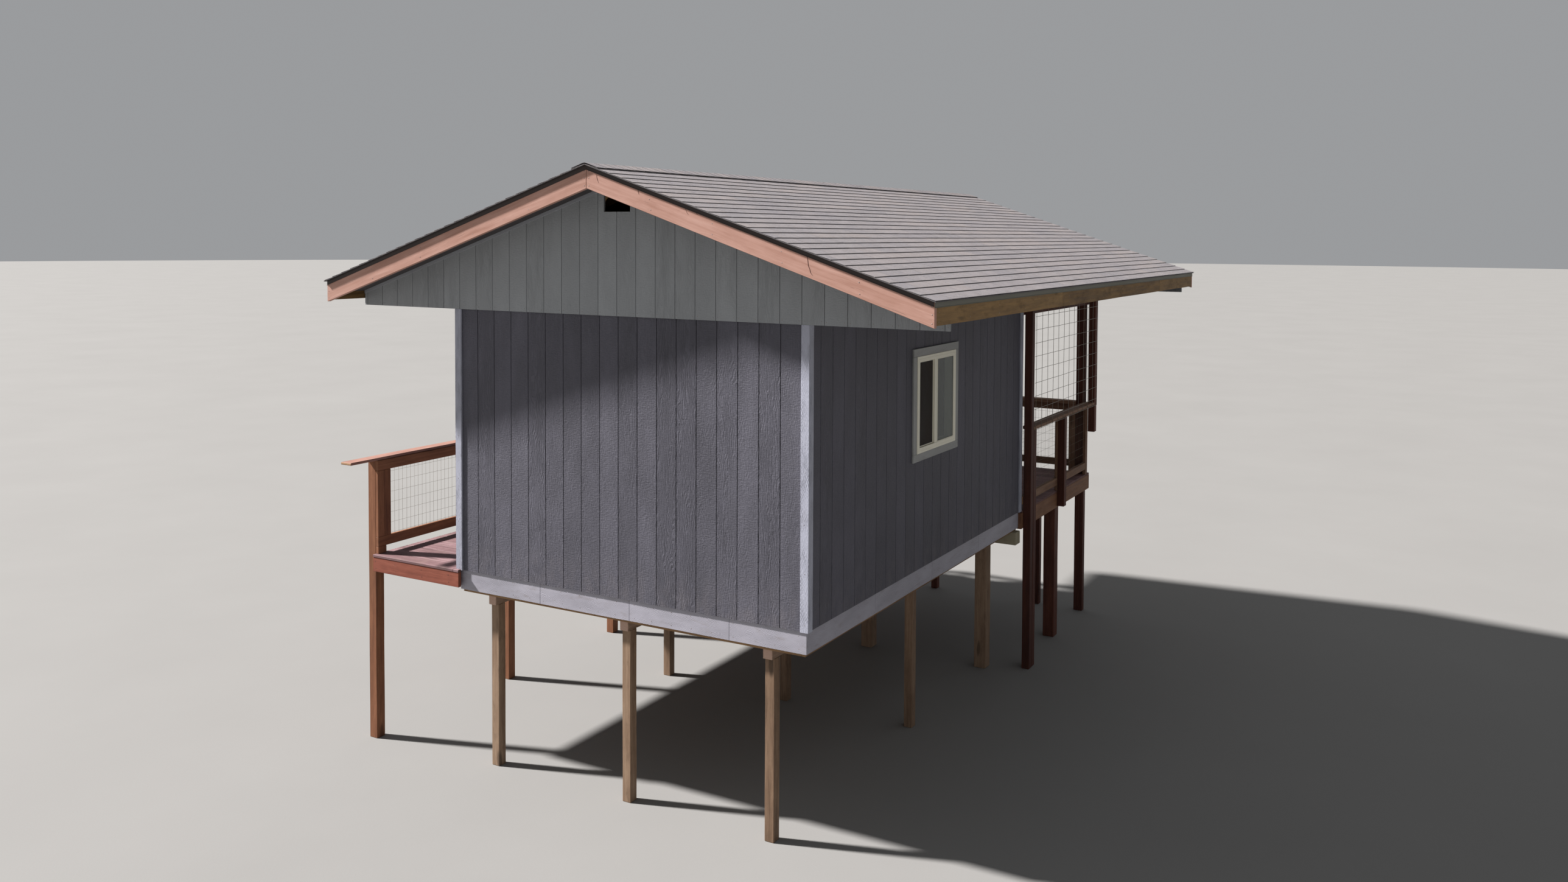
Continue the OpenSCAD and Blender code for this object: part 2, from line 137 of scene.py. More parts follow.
def board(s, lo, hi, axis, ch=2.0, seg=420.0, wob=1.0, warp=None, tone=None, mi=0, rough_end=0.0):
    """One board with eased edges and a slight natural bow, along axis 0, 1 or 2."""
    lo, hi = np.array(lo, float), np.array(hi, float)
    L = axis
    U, V = [(1, 2), (2, 0), (0, 1)][axis]
    length = hi[L] - lo[L]
    ch = min(ch, 0.3 * (hi[U] - lo[U]), 0.3 * (hi[V] - lo[V]), 0.3 * length)
    n = max(1, int(round(length / seg)))
    ts = [0.0, ch] + [length * k / n for k in range(1, n)] + [length - ch, length]
    au, bu, av, bv = lo[U], hi[U], lo[V], hi[V]
    cu, cv = (au + bu) / 2, (av + bv) / 2
    ring = np.array([(au + ch, av), (bu - ch, av), (bu, av + ch), (bu, bv - ch),
                     (bu - ch, bv), (au + ch, bv), (au, bv - ch), (au, av + ch)])
    ph = [rnd.uniform(0, 6.28) for _ in range(6)]
    w = wob if length > 700 else wob * 0.35
    off = np.array([rnd.uniform(0, 60), rnd.uniform(0, 60), rnd.uniform(0, 60)])
    v, gc, end = [], [], []
    for k, t in enumerate(ts):
        shrink = 1.0
        r = ring.copy()
        if k in (0, len(ts) - 1):
            r[:, 0] = cu + (r[:, 0] - cu) * max(0.2, 1 - 2 * ch / (bu - au))
            r[:, 1] = cv + (r[:, 1] - cv) * max(0.2, 1 - 2 * ch / (bv - av))
        fade = min(1.0, t / 150.0, (length - t) / 150.0) if length > 700 else 0.5
        r[:, 0] += w * fade * (math.sin(t / 410.0 + ph[0]) * 0.6 + math.sin(t / 170.0 + ph[1]) * 0.4)
        r[:, 1] += w * fade * (math.sin(t / 530.0 + ph[2]) * 0.6 + math.sin(t / 210.0 + ph[3]) * 0.4)
        p = np.zeros((8, 3))
        p[:, L] = lo[L] + t
        if rough_end and k in (0, len(ts) - 1):
            p[:, L] += [rnd.uniform(-rough_end, rough_end) * 0.5 for _ in range(8)]
        p[:, U], p[:, V] = r[:, 0], r[:, 1]
        v.append(p)
        gc.append(np.column_stack([np.full(8, t / 1000.0), (r[:, 0] - au) / 1000.0, (r[:, 1] - av) / 1000.0]) + off)
        end += [1.0 if k in (0, len(ts) - 1) else 0.0] * 8
    v, gc = np.vstack(v), np.vstack(gc)
    f = []
    for k in range(len(ts) - 1):
        a, b = 8 * k, 8 * (k + 1)
        f += [(a + i, a + (i + 1) % 8, b + (i + 1) % 8, b + i) for i in range(8)]
    f.append(tuple(range(7, -1, -1)))
    f.append(tuple(8 * (len(ts) - 1) + i for i in range(8)))
    if warp is not None:
        v = warp(v)
    s.add(v, f, gc, rnd.random() if tone is None else tone, end, mi)


def tube(s, pts, r, sides=6, tone=None, mi=0):
    """A round wire through pts, which run mainly along one axis."""
    pts = np.array(pts, float)
    d = pts[-1] - pts[0]
    L = int(np.argmax(np.abs(d)))
    U, V = [(1, 2), (2, 0), (0, 1)][L]
    if d[L] < 0:
        pts = pts[::-1]
    v, gc = [], []
    off = rnd.uniform(0, 50)
    for p in pts:
        for i in range(sides):
            a = 2 * math.pi * i / sides
            q = p.copy()
            q[U] += r * math.cos(a)
            q[V] += r * math.sin(a)
            v.append(q)
            gc.append((p[L] / 1000 + off, math.cos(a) * r / 1000, math.sin(a) * r / 1000))
    f = []
    for k in range(len(pts) - 1):
        a, b = sides * k, sides * (k + 1)
        f += [(a + i, a + (i + 1) % sides, b + (i + 1) % sides, b + i) for i in range(sides)]
    m = len(f)
    f.append(tuple(range(sides - 1, -1, -1)))
    f.append(tuple(sides * (len(pts) - 1) + i for i in range(sides)))
    s.add(v, f, gc, rnd.random() if tone is None else tone, None, mi, smooth=True)


def nail(s, p, axis, sign, r=4.0, h=1.3, mi=0, tone=None):
    """A low domed nail or screw head on a face that looks along sign * axis."""
    U, V = [(1, 2), (2, 0), (0, 1)][axis]
    v, n = [], 8
    for rr, hh in ((r, -0.5), (r, h * 0.35), (r * 0.62, h)):
        for i in range(n):
            a = 2 * math.pi * i / n
            q = np.array(p, float)
            q[U] += rr * math.cos(a)
            q[V] += rr * math.sin(a)
            q[axis] += sign * hh
            v.append(q)
    f = []
    for k in (0, 1):
        a, b = n * k, n * (k + 1)
        for i in range(n):
            q = (a + i, a + (i + 1) % n, b + (i + 1) % n, b + i)
            f.append(q if sign > 0 else q[::-1])
    top = tuple(2 * n + i for i in range(n))
    bot = tuple(range(n - 1, -1, -1))
    f += [top if sign > 0 else top[::-1], bot if sign > 0 else bot[::-1]]
    gc = np.array(v) / 1000.0
    s.add(v, f, gc, rnd.random() if tone is None else tone, None, mi, smooth=False)


def sheet_wall(s, to_xyz, s0, s1, z0, top, grooves, g_ref, hole=None, thick=112.0, gw=5.0, gd=5.0, mi_in=1, rows=()):
    """A grooved panel wall with real grooves and an opening. to_xyz maps along,
    outward and up to the house frame; top is a number or a function of along."""
    ft = top if callable(top) else (lambda a: top)
    prof = [(s0, 0.0), (s1, 0.0)]
    for g in grooves:
        if s0 + gw < g < s1 - gw:
            prof += [(g - gw / 2 - 1.2, 0.0), (g - gw / 2, -gd), (g + gw / 2, -gd), (g + gw / 2 + 1.2, 0.0)]
    prof.sort()
    xs = [a for a, _ in prof]
    ds = [d for _, d in prof]

    def depth(a):
        return float(np.interp(a, xs, ds))

    extra = []
    zs_in = sorted(rows)
    if hole:
        extra += [hole[0], hole[1]]
        zs_in = sorted(set(zs_in) | {hole[2], hole[3]})
    if callable(top):
        extra.append(XM)
        for z in zs_in:
            r = (RZ - SO - z) / SL
            extra += [XM - r, XM + r]
    al = sorted(set(xs) | {e for e in extra if s0 < e < s1})
    rowz = [z0] + zs_in
    n, m = len(al), len(rowz) + 1
    v = np.zeros((2, n, m, 3))
    gc = np.zeros((2, n, m, 3))
    for i, a in enumerate(al):
        t = ft(a)
        for j in range(m):
            z = min(rowz[j], t) if j < m - 1 else t
            for k, d in enumerate((depth(a), -thick)):
                v[k, i, j] = (a, d, z)
                gc[k, i, j] = (z / 1000.0, (a - g_ref) / 1000.0, d / 1000.0)
    cell = np.ones((n - 1, m - 1), bool)
    for i in range(n - 1):
        for j in range(m - 1):
            za, zb = v[0, i, j, 2], v[0, i, j + 1, 2]
            zc, zd = v[0, i + 1, j, 2], v[0, i + 1, j + 1, 2]
            if zb - za < 1e-6 and zd - zc < 1e-6:
                cell[i, j] = False
            if hole:
                mid = (al[i] + al[i + 1]) / 2
                if hole[0] < mid < hole[1] and rowz[j] >= hole[2] - 1e-6 and (j + 1 < m - 1 and rowz[j + 1] <= hole[3] + 1e-6):
                    cell[i, j] = False

    def idx(k, i, j):
        return (k * n + i) * m + j

    f, mi = [], []
    for i in range(n - 1):
        for j in range(m - 1):
            if not cell[i, j]:
                continue
            f.append((idx(0, i, j), idx(0, i + 1, j), idx(0, i + 1, j + 1), idx(0, i, j + 1))); mi.append(0)
            f.append((idx(1, i, j + 1), idx(1, i + 1, j + 1), idx(1, i + 1, j), idx(1, i, j))); mi.append(mi_in)
            for di, dj, a, b in ((-1, 0, (i, j), (i, j + 1)), (1, 0, (i + 1, j + 1), (i + 1, j)),
                                 (0, -1, (i + 1, j), (i, j)), (0, 1, (i, j + 1), (i + 1, j + 1))):
                ii, jj = i + di, j + dj
                if 0 <= ii < n - 1 and 0 <= jj < m - 1 and cell[ii, jj]:
                    continue
                f.append((idx(0, *a), idx(0, *b), idx(1, *b), idx(1, *a))); mi.append(0)
    flat = v.reshape(-1, 3)
    out = np.array([to_xyz(*q) for q in flat])
    s.add(out, f, gc.reshape(-1, 3), 0.5, None, mi)


def frame_sweep(s, to_xyz, s0, s1, z0, z1, prof, tone=0.5, mi=0):
    """A mitred frame: the closed profile (inset, outward) swept round a rectangle."""
    corners = [(s0, z0, 1, 1), (s1, z0, -1, 1), (s1, z1, -1, -1), (s0, z1, 1, -1)]
    v, gc = [], []
    for a, z, sa, sz in corners:
        for ins, d in prof:
            v.append(to_xyz(a + sa * ins, d, z + sz * ins))
            gc.append(((a + z) / 1000.0, ins / 1000.0, d / 1000.0))
    n = len(prof)
    f = []
    for k in range(4):
        a, b = n * k, n * ((k + 1) % 4)
        f += [(a + i, b + i, b + (i + 1) % n, a + (i + 1) % n) for i in range(n)]
    s.add(v, f, gc, tone, None, mi)


# ---------------------------------------------------------------- materials
def srgb(r, g, b):
    return tuple(((c / 255 + 0.055) / 1.055) ** 2.4 if c > 10 else c / 255 / 12.92 for c in (r, g, b)) + (1.0,)


class Mat:
    def __init__(self, name, rough=0.7, spec=0.35, metal=0.0):
        self.m = bpy.data.materials.new(name)
        self.m.use_nodes = True
        self.t = self.m.node_tree
        self.b = self.t.nodes["Principled BSDF"]
        self.b.inputs["Roughness"].default_value = rough
        self.b.inputs["Specular IOR Level"].default_value = spec
        self.b.inputs["Metallic"].default_value = metal

    def node(self, kind, props=None, **ins):
        n = self.t.nodes.new(kind)
        for k, x in (props or {}).items():
            setattr(n, k, x)
        for k, x in ins.items():
            sock = n.inputs[int(k[1:])] if k[0] == "i" and k[1:].isdigit() else n.inputs[k.replace("_", " ")]
            self.put(sock, x)
        return n

    def put(self, sock, x):
        if isinstance(x, bpy.types.NodeSocket):
            self.t.links.new(x, sock)
        else:
            sock.default_value = x

    def attr(self, name, out="Vector"):
        return self.node("ShaderNodeAttribute", {"attribute_name": name}).outputs[out]

    def obj(self, order=(0, 1, 2)):
        """Object coordinates with the length axis first."""
        o = self.node("ShaderNodeTexCoord").outputs["Object"]
        if order == (0, 1, 2):
            return o
        sep = self.node("ShaderNodeSeparateXYZ", Vector=o)
        return self.node("ShaderNodeCombineXYZ", X=sep.outputs[order[0]], Y=sep.outputs[order[1]], Z=sep.outputs[order[2]]).outputs[0]

    def scale(self, vec, sx, sy, sz, loc=(0, 0, 0)):
        return self.node("ShaderNodeMapping", Vector=vec, Scale=(sx, sy, sz), Location=loc).outputs[0]

    def noise(self, vec, scale=1.0, detail=4.0, rough=0.55, dist=0.0):
        return self.node("ShaderNodeTexNoise", Vector=vec, Scale=scale, Detail=detail, Roughness=rough, Distortion=dist).outputs["Fac"]

    def math(self, op, a, b=0.0, c=0.0, clamp=False):
        n = self.node("ShaderNodeMath", {"operation": op, "use_clamp": clamp})
        self.put(n.inputs[0], a)
        self.put(n.inputs[1], b)
        if op in ("MULTIPLY_ADD", "COMPARE", "SMOOTH_MIN"):
            self.put(n.inputs[2], c)
        return n.outputs[0]

    def rng(self, x, a, b, c=0.0, d=1.0, smooth=True):
        n = self.node("ShaderNodeMapRange", {"interpolation_type": "SMOOTHSTEP" if smooth else "LINEAR"})
        for s, v in zip(("Value", "From Min", "From Max", "To Min", "To Max"), (x, a, b, c, d)):
            self.put(n.inputs[s], v)
        return n.outputs[0]

    def ramp(self, x, stops):
        n = self.node("ShaderNodeValToRGB", Fac=x)
        e = n.color_ramp.elements
        while len(e) < len(stops):
            e.new(0.5)
        for q, (pos, col) in zip(e, stops):
            q.position, q.color = pos, col
        return n.outputs["Color"]

    def mix(self, fac, a, b, blend="MIX"):
        n = self.node("ShaderNodeMix", {"data_type": "RGBA", "blend_type": blend})
        self.put(n.inputs[0], fac)
        self.put(n.inputs[6], a)
        self.put(n.inputs[7], b)
        return n.outputs[2]

    def bump(self, h, dist, strength=1.0, after=None):
        n = self.node("ShaderNodeBump", Height=h, Strength=strength, Distance=dist)
        if after is not None:
            self.put(n.inputs["Normal"], after)
        return n.outputs[0]

    def done(self, col=None, normal=None, rough=None):
        if col is not None:
            self.put(self.b.inputs["Base Color"], col)
        if normal is not None:
            self.put(self.b.inputs["Normal"], normal)
        if rough is not None:
            self.put(self.b.inputs["Roughness"], rough)
        return self.m


def wood(name, dark, mid, light, cut=None, rough=0.72, bumpy=0.0012, tone=0.5, grime=0.35, grime_col=None,
         knots=0.5, fibre=1.0, coords=None, crack=0.6, cutmix=0.85):
    """Stained or bare softwood board: long streaks, fine fibres, knots, cracks, dirt and lighter cut ends."""
    m = Mat(name, rough, 0.3)
    gc = m.attr("gc") if coords is None else m.obj(coords)
    tn = m.attr("tone", "Fac") if coords is None else 0.5
    # slow wander of the grain
    wv = m.noise(m.scale(gc, 1.1, 5.0, 5.0), 1.0, 3.0, 0.5)
    shift = m.math("MULTIPLY", m.math("SUBTRACT", wv, 0.5), 0.055)
    v1 = m.node("ShaderNodeVectorMath", {"operation": "ADD"}, i0=gc,
                i1=m.node("ShaderNodeCombineXYZ", X=0.0, Y=shift, Z=shift).outputs[0]).outputs[0]
    broad = m.noise(m.scale(v1, 1.5, 34.0, 34.0), 1.0, 5.0, 0.6, 0.3)
    fine = m.noise(m.scale(v1, 9.0, 420.0, 420.0), 1.0, 4.0, 0.65)
    blot = m.noise(m.scale(gc, 3.2, 9.0, 9.0), 1.0, 4.0, 0.6)
    # knots
    vo = m.node("ShaderNodeTexVoronoi", {"feature": "F1"}, Vector=m.scale(v1, 1.5, 7.0, 7.0), Scale=1.0, Randomness=1.0)
    kn = m.rng(vo.outputs["Distance"], 0.10, 0.20, 1.0, 0.0)
    kn = m.math("MULTIPLY", kn, m.rng(m.node("ShaderNodeSeparateColor", Color=vo.outputs["Color"]).outputs[0], 0.55, 0.6, 0.0, knots))
    fac = m.math("ADD", m.math("MULTIPLY", broad, 0.62), m.math("MULTIPLY", fine, 0.38 * fibre))
    fac = m.math("ADD", fac, m.math("MULTIPLY", m.math("SUBTRACT", blot, 0.5), 0.35))
    fac = m.math("ADD", fac, m.math("MULTIPLY", m.math("SUBTRACT", tn, 0.5), tone * 0.5))
    col = m.ramp(fac, [(0.26, dark), (0.5, mid), (0.76, light)])
    col = m.mix(kn, col, tuple(c * 0.32 for c in dark[:3]) + (1.0,))
    # cracks along the grain
    ck = m.noise(m.scale(v1, 3.0, 150.0, 150.0, (7, 3, 1)), 1.0, 2.0, 0.5)
    ckm = m.math("MULTIPLY", m.rng(ck, 0.70, 0.76), m.rng(m.noise(m.scale(gc, 2.0, 8.0, 8.0, (3, 9, 2)), 1.0, 2.0), 0.52, 0.62))
    ckm = m.math("MULTIPLY", ckm, crack)
    col = m.mix(ckm, col, tuple(c * 0.25 for c in dark[:3]) + (1.0,))
    # dirt
    dirt = m.rng(m.noise(m.scale(gc, 5.0, 14.0, 14.0, (5, 5, 5)), 1.0, 5.0, 0.65), 0.5, 0.78)
    gcx = grime_col or tuple(c * 0.5 for c in mid[:3]) + (1.0,)
    col = m.mix(m.math("MULTIPLY", dirt, grime), col, gcx)
    if coords is None:
        ring = m.node("ShaderNodeTexWave", {"wave_type": "RINGS", "rings_direction": "X"}, Vector=m.scale(gc, 1.0, 1.0, 1.0, (0, -60.0, -60.0)),
                      Scale=55.0, Distortion=3.0, Detail=3.0, Detail_Scale=2.0).outputs["Fac"]
        cutc = cut or light
        cc = m.mix(m.rng(ring, 0.2, 0.9), cutc, tuple(c * 0.62 for c in cutc[:3]) + (1.0,))
        col = m.mix(m.math("MULTIPLY", m.attr("cut", "Fac"), cutmix), col, cc)
    h = m.math("ADD", m.math("MULTIPLY", fine, 0.6), m.math("MULTIPLY", broad, 0.7))
    h = m.math("SUBTRACT", h, m.math("MULTIPLY", ckm, 1.6))
    h = m.math("SUBTRACT", h, m.math("MULTIPLY", kn, 0.4))
    ro = m.rng(m.math("ADD", broad, m.math("MULTIPLY", dirt, 0.3)), 0.2, 0.9, rough - 0.12, min(0.97, rough + 0.14), smooth=False)
    return m.done(col, m.bump(h, bumpy), ro)


def siding(name, base, glint_fleck, groove_shade, emboss=0.0036, dirty=0.35, relief_shading=0.34, groove_shade_mix=0.7):
    """Painted grooved panel with embossed cedar figure: wavy ridges on some
    boards, saw chatter across the others, fine streaks along all of them."""
    m = Mat(name, 0.62, 0.28)
    sp = m.node("ShaderNodeSeparateXYZ", Vector=m.attr("gc"))
    z, a, d = sp.outputs
    k = m.math("FLOOR", m.math("DIVIDE", m.math("ADD", a, 0.0001), GP / 1000.0))
    rb = m.node("ShaderNodeTexWhiteNoise", {"noise_dimensions": "1D"}, W=k)
    rc = m.node("ShaderNodeSeparateColor", Color=rb.outputs["Color"]).outputs
    v = m.node("ShaderNodeCombineXYZ", X=m.math("ADD", z, m.math("MULTIPLY", k, 7.37)), Y=a, Z=0.0).outputs[0]
    push = m.math("SUBTRACT", m.noise(m.scale(v, 2.4, 9.0, 1.0), 1.0, 2.0, 0.5), 0.5)
    push2 = m.math("SUBTRACT", m.noise(m.scale(v, 11.0, 34.0, 1.0), 1.0, 2.0, 0.5), 0.5)
    ac = m.math("ADD", a, m.math("ADD", m.math("MULTIPLY", push, 0.17), m.math("MULTIPLY", push2, 0.026)))
    ridge = m.math("SINE", m.math("MULTIPLY", ac, 2 * math.pi / 0.0185))
    ridge2 = m.math("SINE", m.math("MULTIPLY", ac, 2 * math.pi / 0.0071))
    figure = m.rng(rc[0], 0.42, 0.58, 1.0, 0.42)
    amp = m.math("MULTIPLY", m.rng(m.noise(m.scale(v, 1.5, 8.0, 1.0, (4, 4, 4)), 1.0, 2.0), 0.36, 0.58, 0.3, 1.0), figure)
    saw = m.math("SUBTRACT", m.noise(m.scale(v, 84.0, 30.0, 1.0), 1.0, 3.0, 0.6), 0.5)
    saw2 = m.math("SUBTRACT", m.noise(m.scale(v, 170.0, 26.0, 1.0), 1.0, 2.0, 0.5), 0.5)
    chatter = m.rng(rc[0], 0.34, 0.6, 0.45, 0.95)
    fine = m.math("SUBTRACT", m.noise(m.scale(v, 24.0, 300.0, 1.0), 1.0, 4.0, 0.6), 0.5)
    grit = m.math("SUBTRACT", m.noise(m.scale(v, 280.0, 280.0, 1.0), 1.0, 2.0, 0.5), 0.5)
    h = m.math("MULTIPLY", m.math("ADD", ridge, m.math("MULTIPLY", ridge2, 0.4)), m.math("MULTIPLY", amp, 0.40))
    h = m.math("ADD", h, m.math("MULTIPLY", m.math("ADD", m.math("MULTIPLY", saw, 1.35), m.math("MULTIPLY", saw2, 0.5)), chatter))
    h = m.math("ADD", h, m.math("MULTIPLY", fine, 0.9))
    h = m.math("ADD", h, m.math("MULTIPLY", grit, 0.4))
    lowv = m.math("SUBTRACT", m.noise(m.scale(v, 1.6, 4.0, 1.0, (9, 1, 0)), 1.0, 4.0, 0.6), 0.5)
    # the colour follows the relief height: painted highlight on the embossed ridges and painted shade in the hollows,
    # mixed with random board tone
    fac = m.math("ADD", m.math("MULTIPLY", h, relief_shading * 0.6), m.math("MULTIPLY", lowv, 0.5))
    fac = m.math("ADD", fac, m.math("MULTIPLY_ADD", m.math("SUBTRACT", rc[2], 0.5), 0.14, 0.5))
    lo = tuple(c * (1 - relief_shading * 1.25) for c in base[:3]) + (1.0,)
    hi = tuple(min(1, c * (1 + relief_shading * 1.6)) for c in base[:3]) + (1.0,)
    col = m.ramp(fac, [(0.2, lo), (0.5, base), (0.8, hi)])
    # painted glints: light flecks scattered over the face
    glint_mask = m.math("MULTIPLY", m.rng(m.noise(m.scale(v, 60.0, 180.0, 1.0, (2, 8, 0)), 1.0, 3.0), 0.66, 0.76), 0.4)
    col = m.mix(glint_mask, col, glint_fleck)
    # painted shade: the groove floors are darkened towards the groove colour
    g = m.rng(d, -0.0045, -0.0008, 1.0, 0.0)
    col = m.mix(m.math("MULTIPLY", g, groove_shade_mix), col, groove_shade)
    streak = m.rng(m.noise(m.scale(v, 1.8, 60.0, 1.0, (1, 6, 0)), 1.0, 4.0, 0.6), 0.56, 0.8)
    col = m.mix(m.math("MULTIPLY", streak, dirty * 0.5), col, tuple(c * 0.55 for c in base[:3]) + (1.0,))
    # splash dust near the bottom of the wall
    dust = m.math("MULTIPLY", m.rng(z, 0.18, 0.62, 1.0, 0.0), m.rng(m.noise(m.scale(v, 6.0, 9.0, 1.0, (3, 3, 3)), 1.0, 4.0), 0.35, 0.7))
    col = m.mix(m.math("MULTIPLY", dust, dirty * 0.45), col, srgb(132, 124, 124))
    ro = m.rng(fac, 0.2, 0.9, 0.5, 0.76, smooth=False)
    return m.done(col, m.bump(h, emboss), ro)


def painted(name, base, dirt_col, emboss=0.0024, dirty=0.3, coords=None, rough=0.58, fine_s=1.0, tone_and_relief_shade=0.12, edge=None):
    """Painted trim with embossed slanting grain, dirt and small scuffs."""
    m = Mat(name, rough, 0.35)
    gc = m.attr("gc") if coords is None else m.obj(coords)
    tn = m.attr("tone", "Fac") if coords is None else 0.5
    push = m.math("SUBTRACT", m.noise(m.scale(gc, 6.0, 16.0, 16.0), 1.0, 2.0), 0.5)
    sp = m.node("ShaderNodeSeparateXYZ", Vector=gc)
    ac = m.math("ADD", m.math("ADD", sp.outputs[1], sp.outputs[2]), m.math("MULTIPLY", sp.outputs[0], 0.30))
    ac = m.math("ADD", ac, m.math("MULTIPLY", push, 0.05))
    ridge = m.math("SINE", m.math("MULTIPLY", ac, 2 * math.pi / 0.011))
    amp = m.rng(m.noise(m.scale(gc, 5.0, 14.0, 14.0, (2, 2, 2)), 1.0, 2.0), 0.35, 0.65)
    fine = m.noise(m.scale(gc, 40.0, 260.0, 260.0), 1.0, 3.0, 0.6)
    h = m.math("ADD", m.math("MULTIPLY", m.math("MULTIPLY", ridge, amp), 0.5), m.math("MULTIPLY", fine, 0.8 * fine_s))
    lowv = m.noise(m.scale(gc, 2.6, 7.0, 7.0, (7, 7, 7)), 1.0, 4.0, 0.6)
    # the colour follows the relief height a little: painted highlight on the grain ridges and painted shade in the
    # hollows, mixed with random tone
    fac = m.math("ADD", m.math("MULTIPLY", h, 0.12), m.math("MULTIPLY", lowv, 0.75))
    fac = m.math("ADD", fac, m.math("MULTIPLY", m.math("SUBTRACT", tn, 0.5), 0.12))
    lo = tuple(c * (1 - tone_and_relief_shade) for c in base[:3]) + (1.0,)
    hi = tuple(min(1, c * (1 + tone_and_relief_shade)) for c in base[:3]) + (1.0,)
    col = m.ramp(fac, [(0.25, lo), (0.5, base), (0.8, hi)])
    dirt = m.rng(m.noise(m.scale(gc, 5.0, 20.0, 20.0, (1, 2, 3)), 1.0, 6.0, 0.65), 0.52, 0.8)
    col = m.mix(m.math("MULTIPLY", dirt, dirty), col, dirt_col)
    speck = m.rng(m.noise(m.scale(gc, 110.0, 110.0, 110.0, (5, 1, 2)), 1.0, 2.0), 0.72, 0.78)
    col = m.mix(m.math("MULTIPLY", speck, 0.35), col, tuple(c * 0.45 for c in base[:3]) + (1.0,))
    ro = m.rng(fac, 0.2, 0.9, rough - 0.08, rough + 0.2, smooth=False)
    return m.done(col, m.bump(h, emboss), ro)


def shingle_mat(name, base, warm, cool):
    m = Mat(name, 0.93, 0.18)
    gc = m.attr("gc")
    tn = m.attr("tone", "Fac")
    grain = m.noise(m.scale(gc, 420.0, 420.0, 420.0), 1.0, 2.0, 0.6)
    vo = m.node("ShaderNodeTexVoronoi", {"feature": "F1"}, Vector=m.scale(gc, 330.0, 330.0, 330.0), Scale=1.0)
    gr = m.node("ShaderNodeSeparateColor", Color=vo.outputs["Color"]).outputs
    patch = m.noise(m.scale(gc, 5.0, 9.0, 5.0), 1.0, 5.0, 0.6)
    fac = m.math("ADD", m.math("MULTIPLY", gr[0], 0.45), m.math("MULTIPLY", patch, 0.5))
    fac = m.math("ADD", fac, m.math("MULTIPLY", m.math("SUBTRACT", tn, 0.5), 0.14))
    dk = tuple(c * 0.55 for c in base[:3]) + (1.0,)
    lt = tuple(min(1, c * 1.3) for c in base[:3]) + (1.0,)
    col = m.ramp(fac, [(0.18, dk), (0.5, base), (0.85, lt)])
    col = m.mix(m.math("MULTIPLY", m.rng(tn, 0.45, 0.9), 0.16), col, warm)
    col = m.mix(m.math("MULTIPLY", m.rng(tn, 0.1, 0.5, 1.0, 0.0), 0.13), col, cool)
    col = m.mix(m.rng(gr[1], 0.78, 0.84, 0.0, 0.55), col, warm)
    col = m.mix(m.rng(gr[2], 0.80, 0.86, 0.0, 0.5), col, cool)
    # streaks of grit washed down the slope
    st = m.rng(m.noise(m.scale(gc, 24.0, 1.4, 1.0, (3, 1, 2)), 1.0, 4.0), 0.5, 0.75)
    col = m.mix(m.math("MULTIPLY", st, 0.22), col, dk)
    # painted shade: the lower layer of each tab and ridge cap, marked in 'cut', is darkened towards near-black below
    # the butts
    col = m.mix(m.math("MULTIPLY", m.attr("cut", "Fac"), 0.72), col, srgb(34, 31, 31))
    h = m.math("ADD", vo.outputs["Distance"], m.math("MULTIPLY", grain, 0.6))
    return m.done(col, m.bump(h, 0.0011), m.rng(grain, 0.3, 0.7, 0.84, 0.98, smooth=False))


def metal_sheet(name, base, rough=0.5, metal=0.25, coords=None, rust=0.15):
    m = Mat(name, rough, 0.4, 0.0)
    gc = m.attr("gc") if coords is None else m.obj(coords)
    n1 = m.noise(m.scale(gc, 2.0, 40.0, 40.0), 1.0, 5.0, 0.6)
    n2 = m.noise(m.scale(gc, 90.0, 90.0, 90.0), 1.0, 3.0, 0.6)
    fac = m.math("ADD", m.math("MULTIPLY", n1, 0.65), m.math("MULTIPLY", n2, 0.35))
    lo = tuple(c * 0.72 for c in base[:3]) + (1.0,)
    hi = tuple(min(1, c * 1.25) for c in base[:3]) + (1.0,)
    col = m.ramp(fac, [(0.3, lo), (0.5, base), (0.72, hi)])
    col = m.mix(m.math("MULTIPLY", m.rng(n2, 0.62, 0.74), rust), col, srgb(96, 66, 46))
    return m.done(col, m.bump(fac, 0.0005), m.rng(fac, 0.3, 0.7, rough - 0.1, rough + 0.15, smooth=False))


def vinyl_mat(name, base):
    m = Mat(name, 0.38, 0.45)
    gc = m.attr("gc")
    n1 = m.noise(m.scale(gc, 9.0, 60.0, 60.0), 1.0, 5.0, 0.6)
    n2 = m.noise(m.scale(gc, 160.0, 160.0, 160.0), 1.0, 2.0, 0.6)
    col = m.ramp(n1, [(0.3, tuple(c * 0.88 for c in base[:3]) + (1.0,)), (0.6, base), (0.8, base)])
    col = m.mix(m.math("MULTIPLY", m.rng(n1, 0.55, 0.72), 0.18), col, srgb(150, 140, 116))
    return m.done(col, m.bump(n2, 0.00025), m.rng(n1, 0.3, 0.7, 0.32, 0.5, smooth=False))


def glass_mat(name, tint, rough, trans=0.9):
    m = Mat(name, rough, 0.5)
    o = m.obj()
    n1 = m.noise(o, 1.3, 2.0, 0.5)
    n2 = m.noise(o, 26.0, 5.0, 0.7)
    m.b.inputs["Transmission Weight"].default_value = trans
    m.b.inputs["IOR"].default_value = 1.16
    col = m.mix(m.math("MULTIPLY", m.rng(n2, 0.52, 0.72), 0.5), tint, tuple(c * 0.72 for c in tint[:3]) + (1.0,))
    return m.done(col, m.bump(n1, 0.004, 0.35), m.rng(n2, 0.4, 0.75, rough, rough + 0.07, smooth=False))


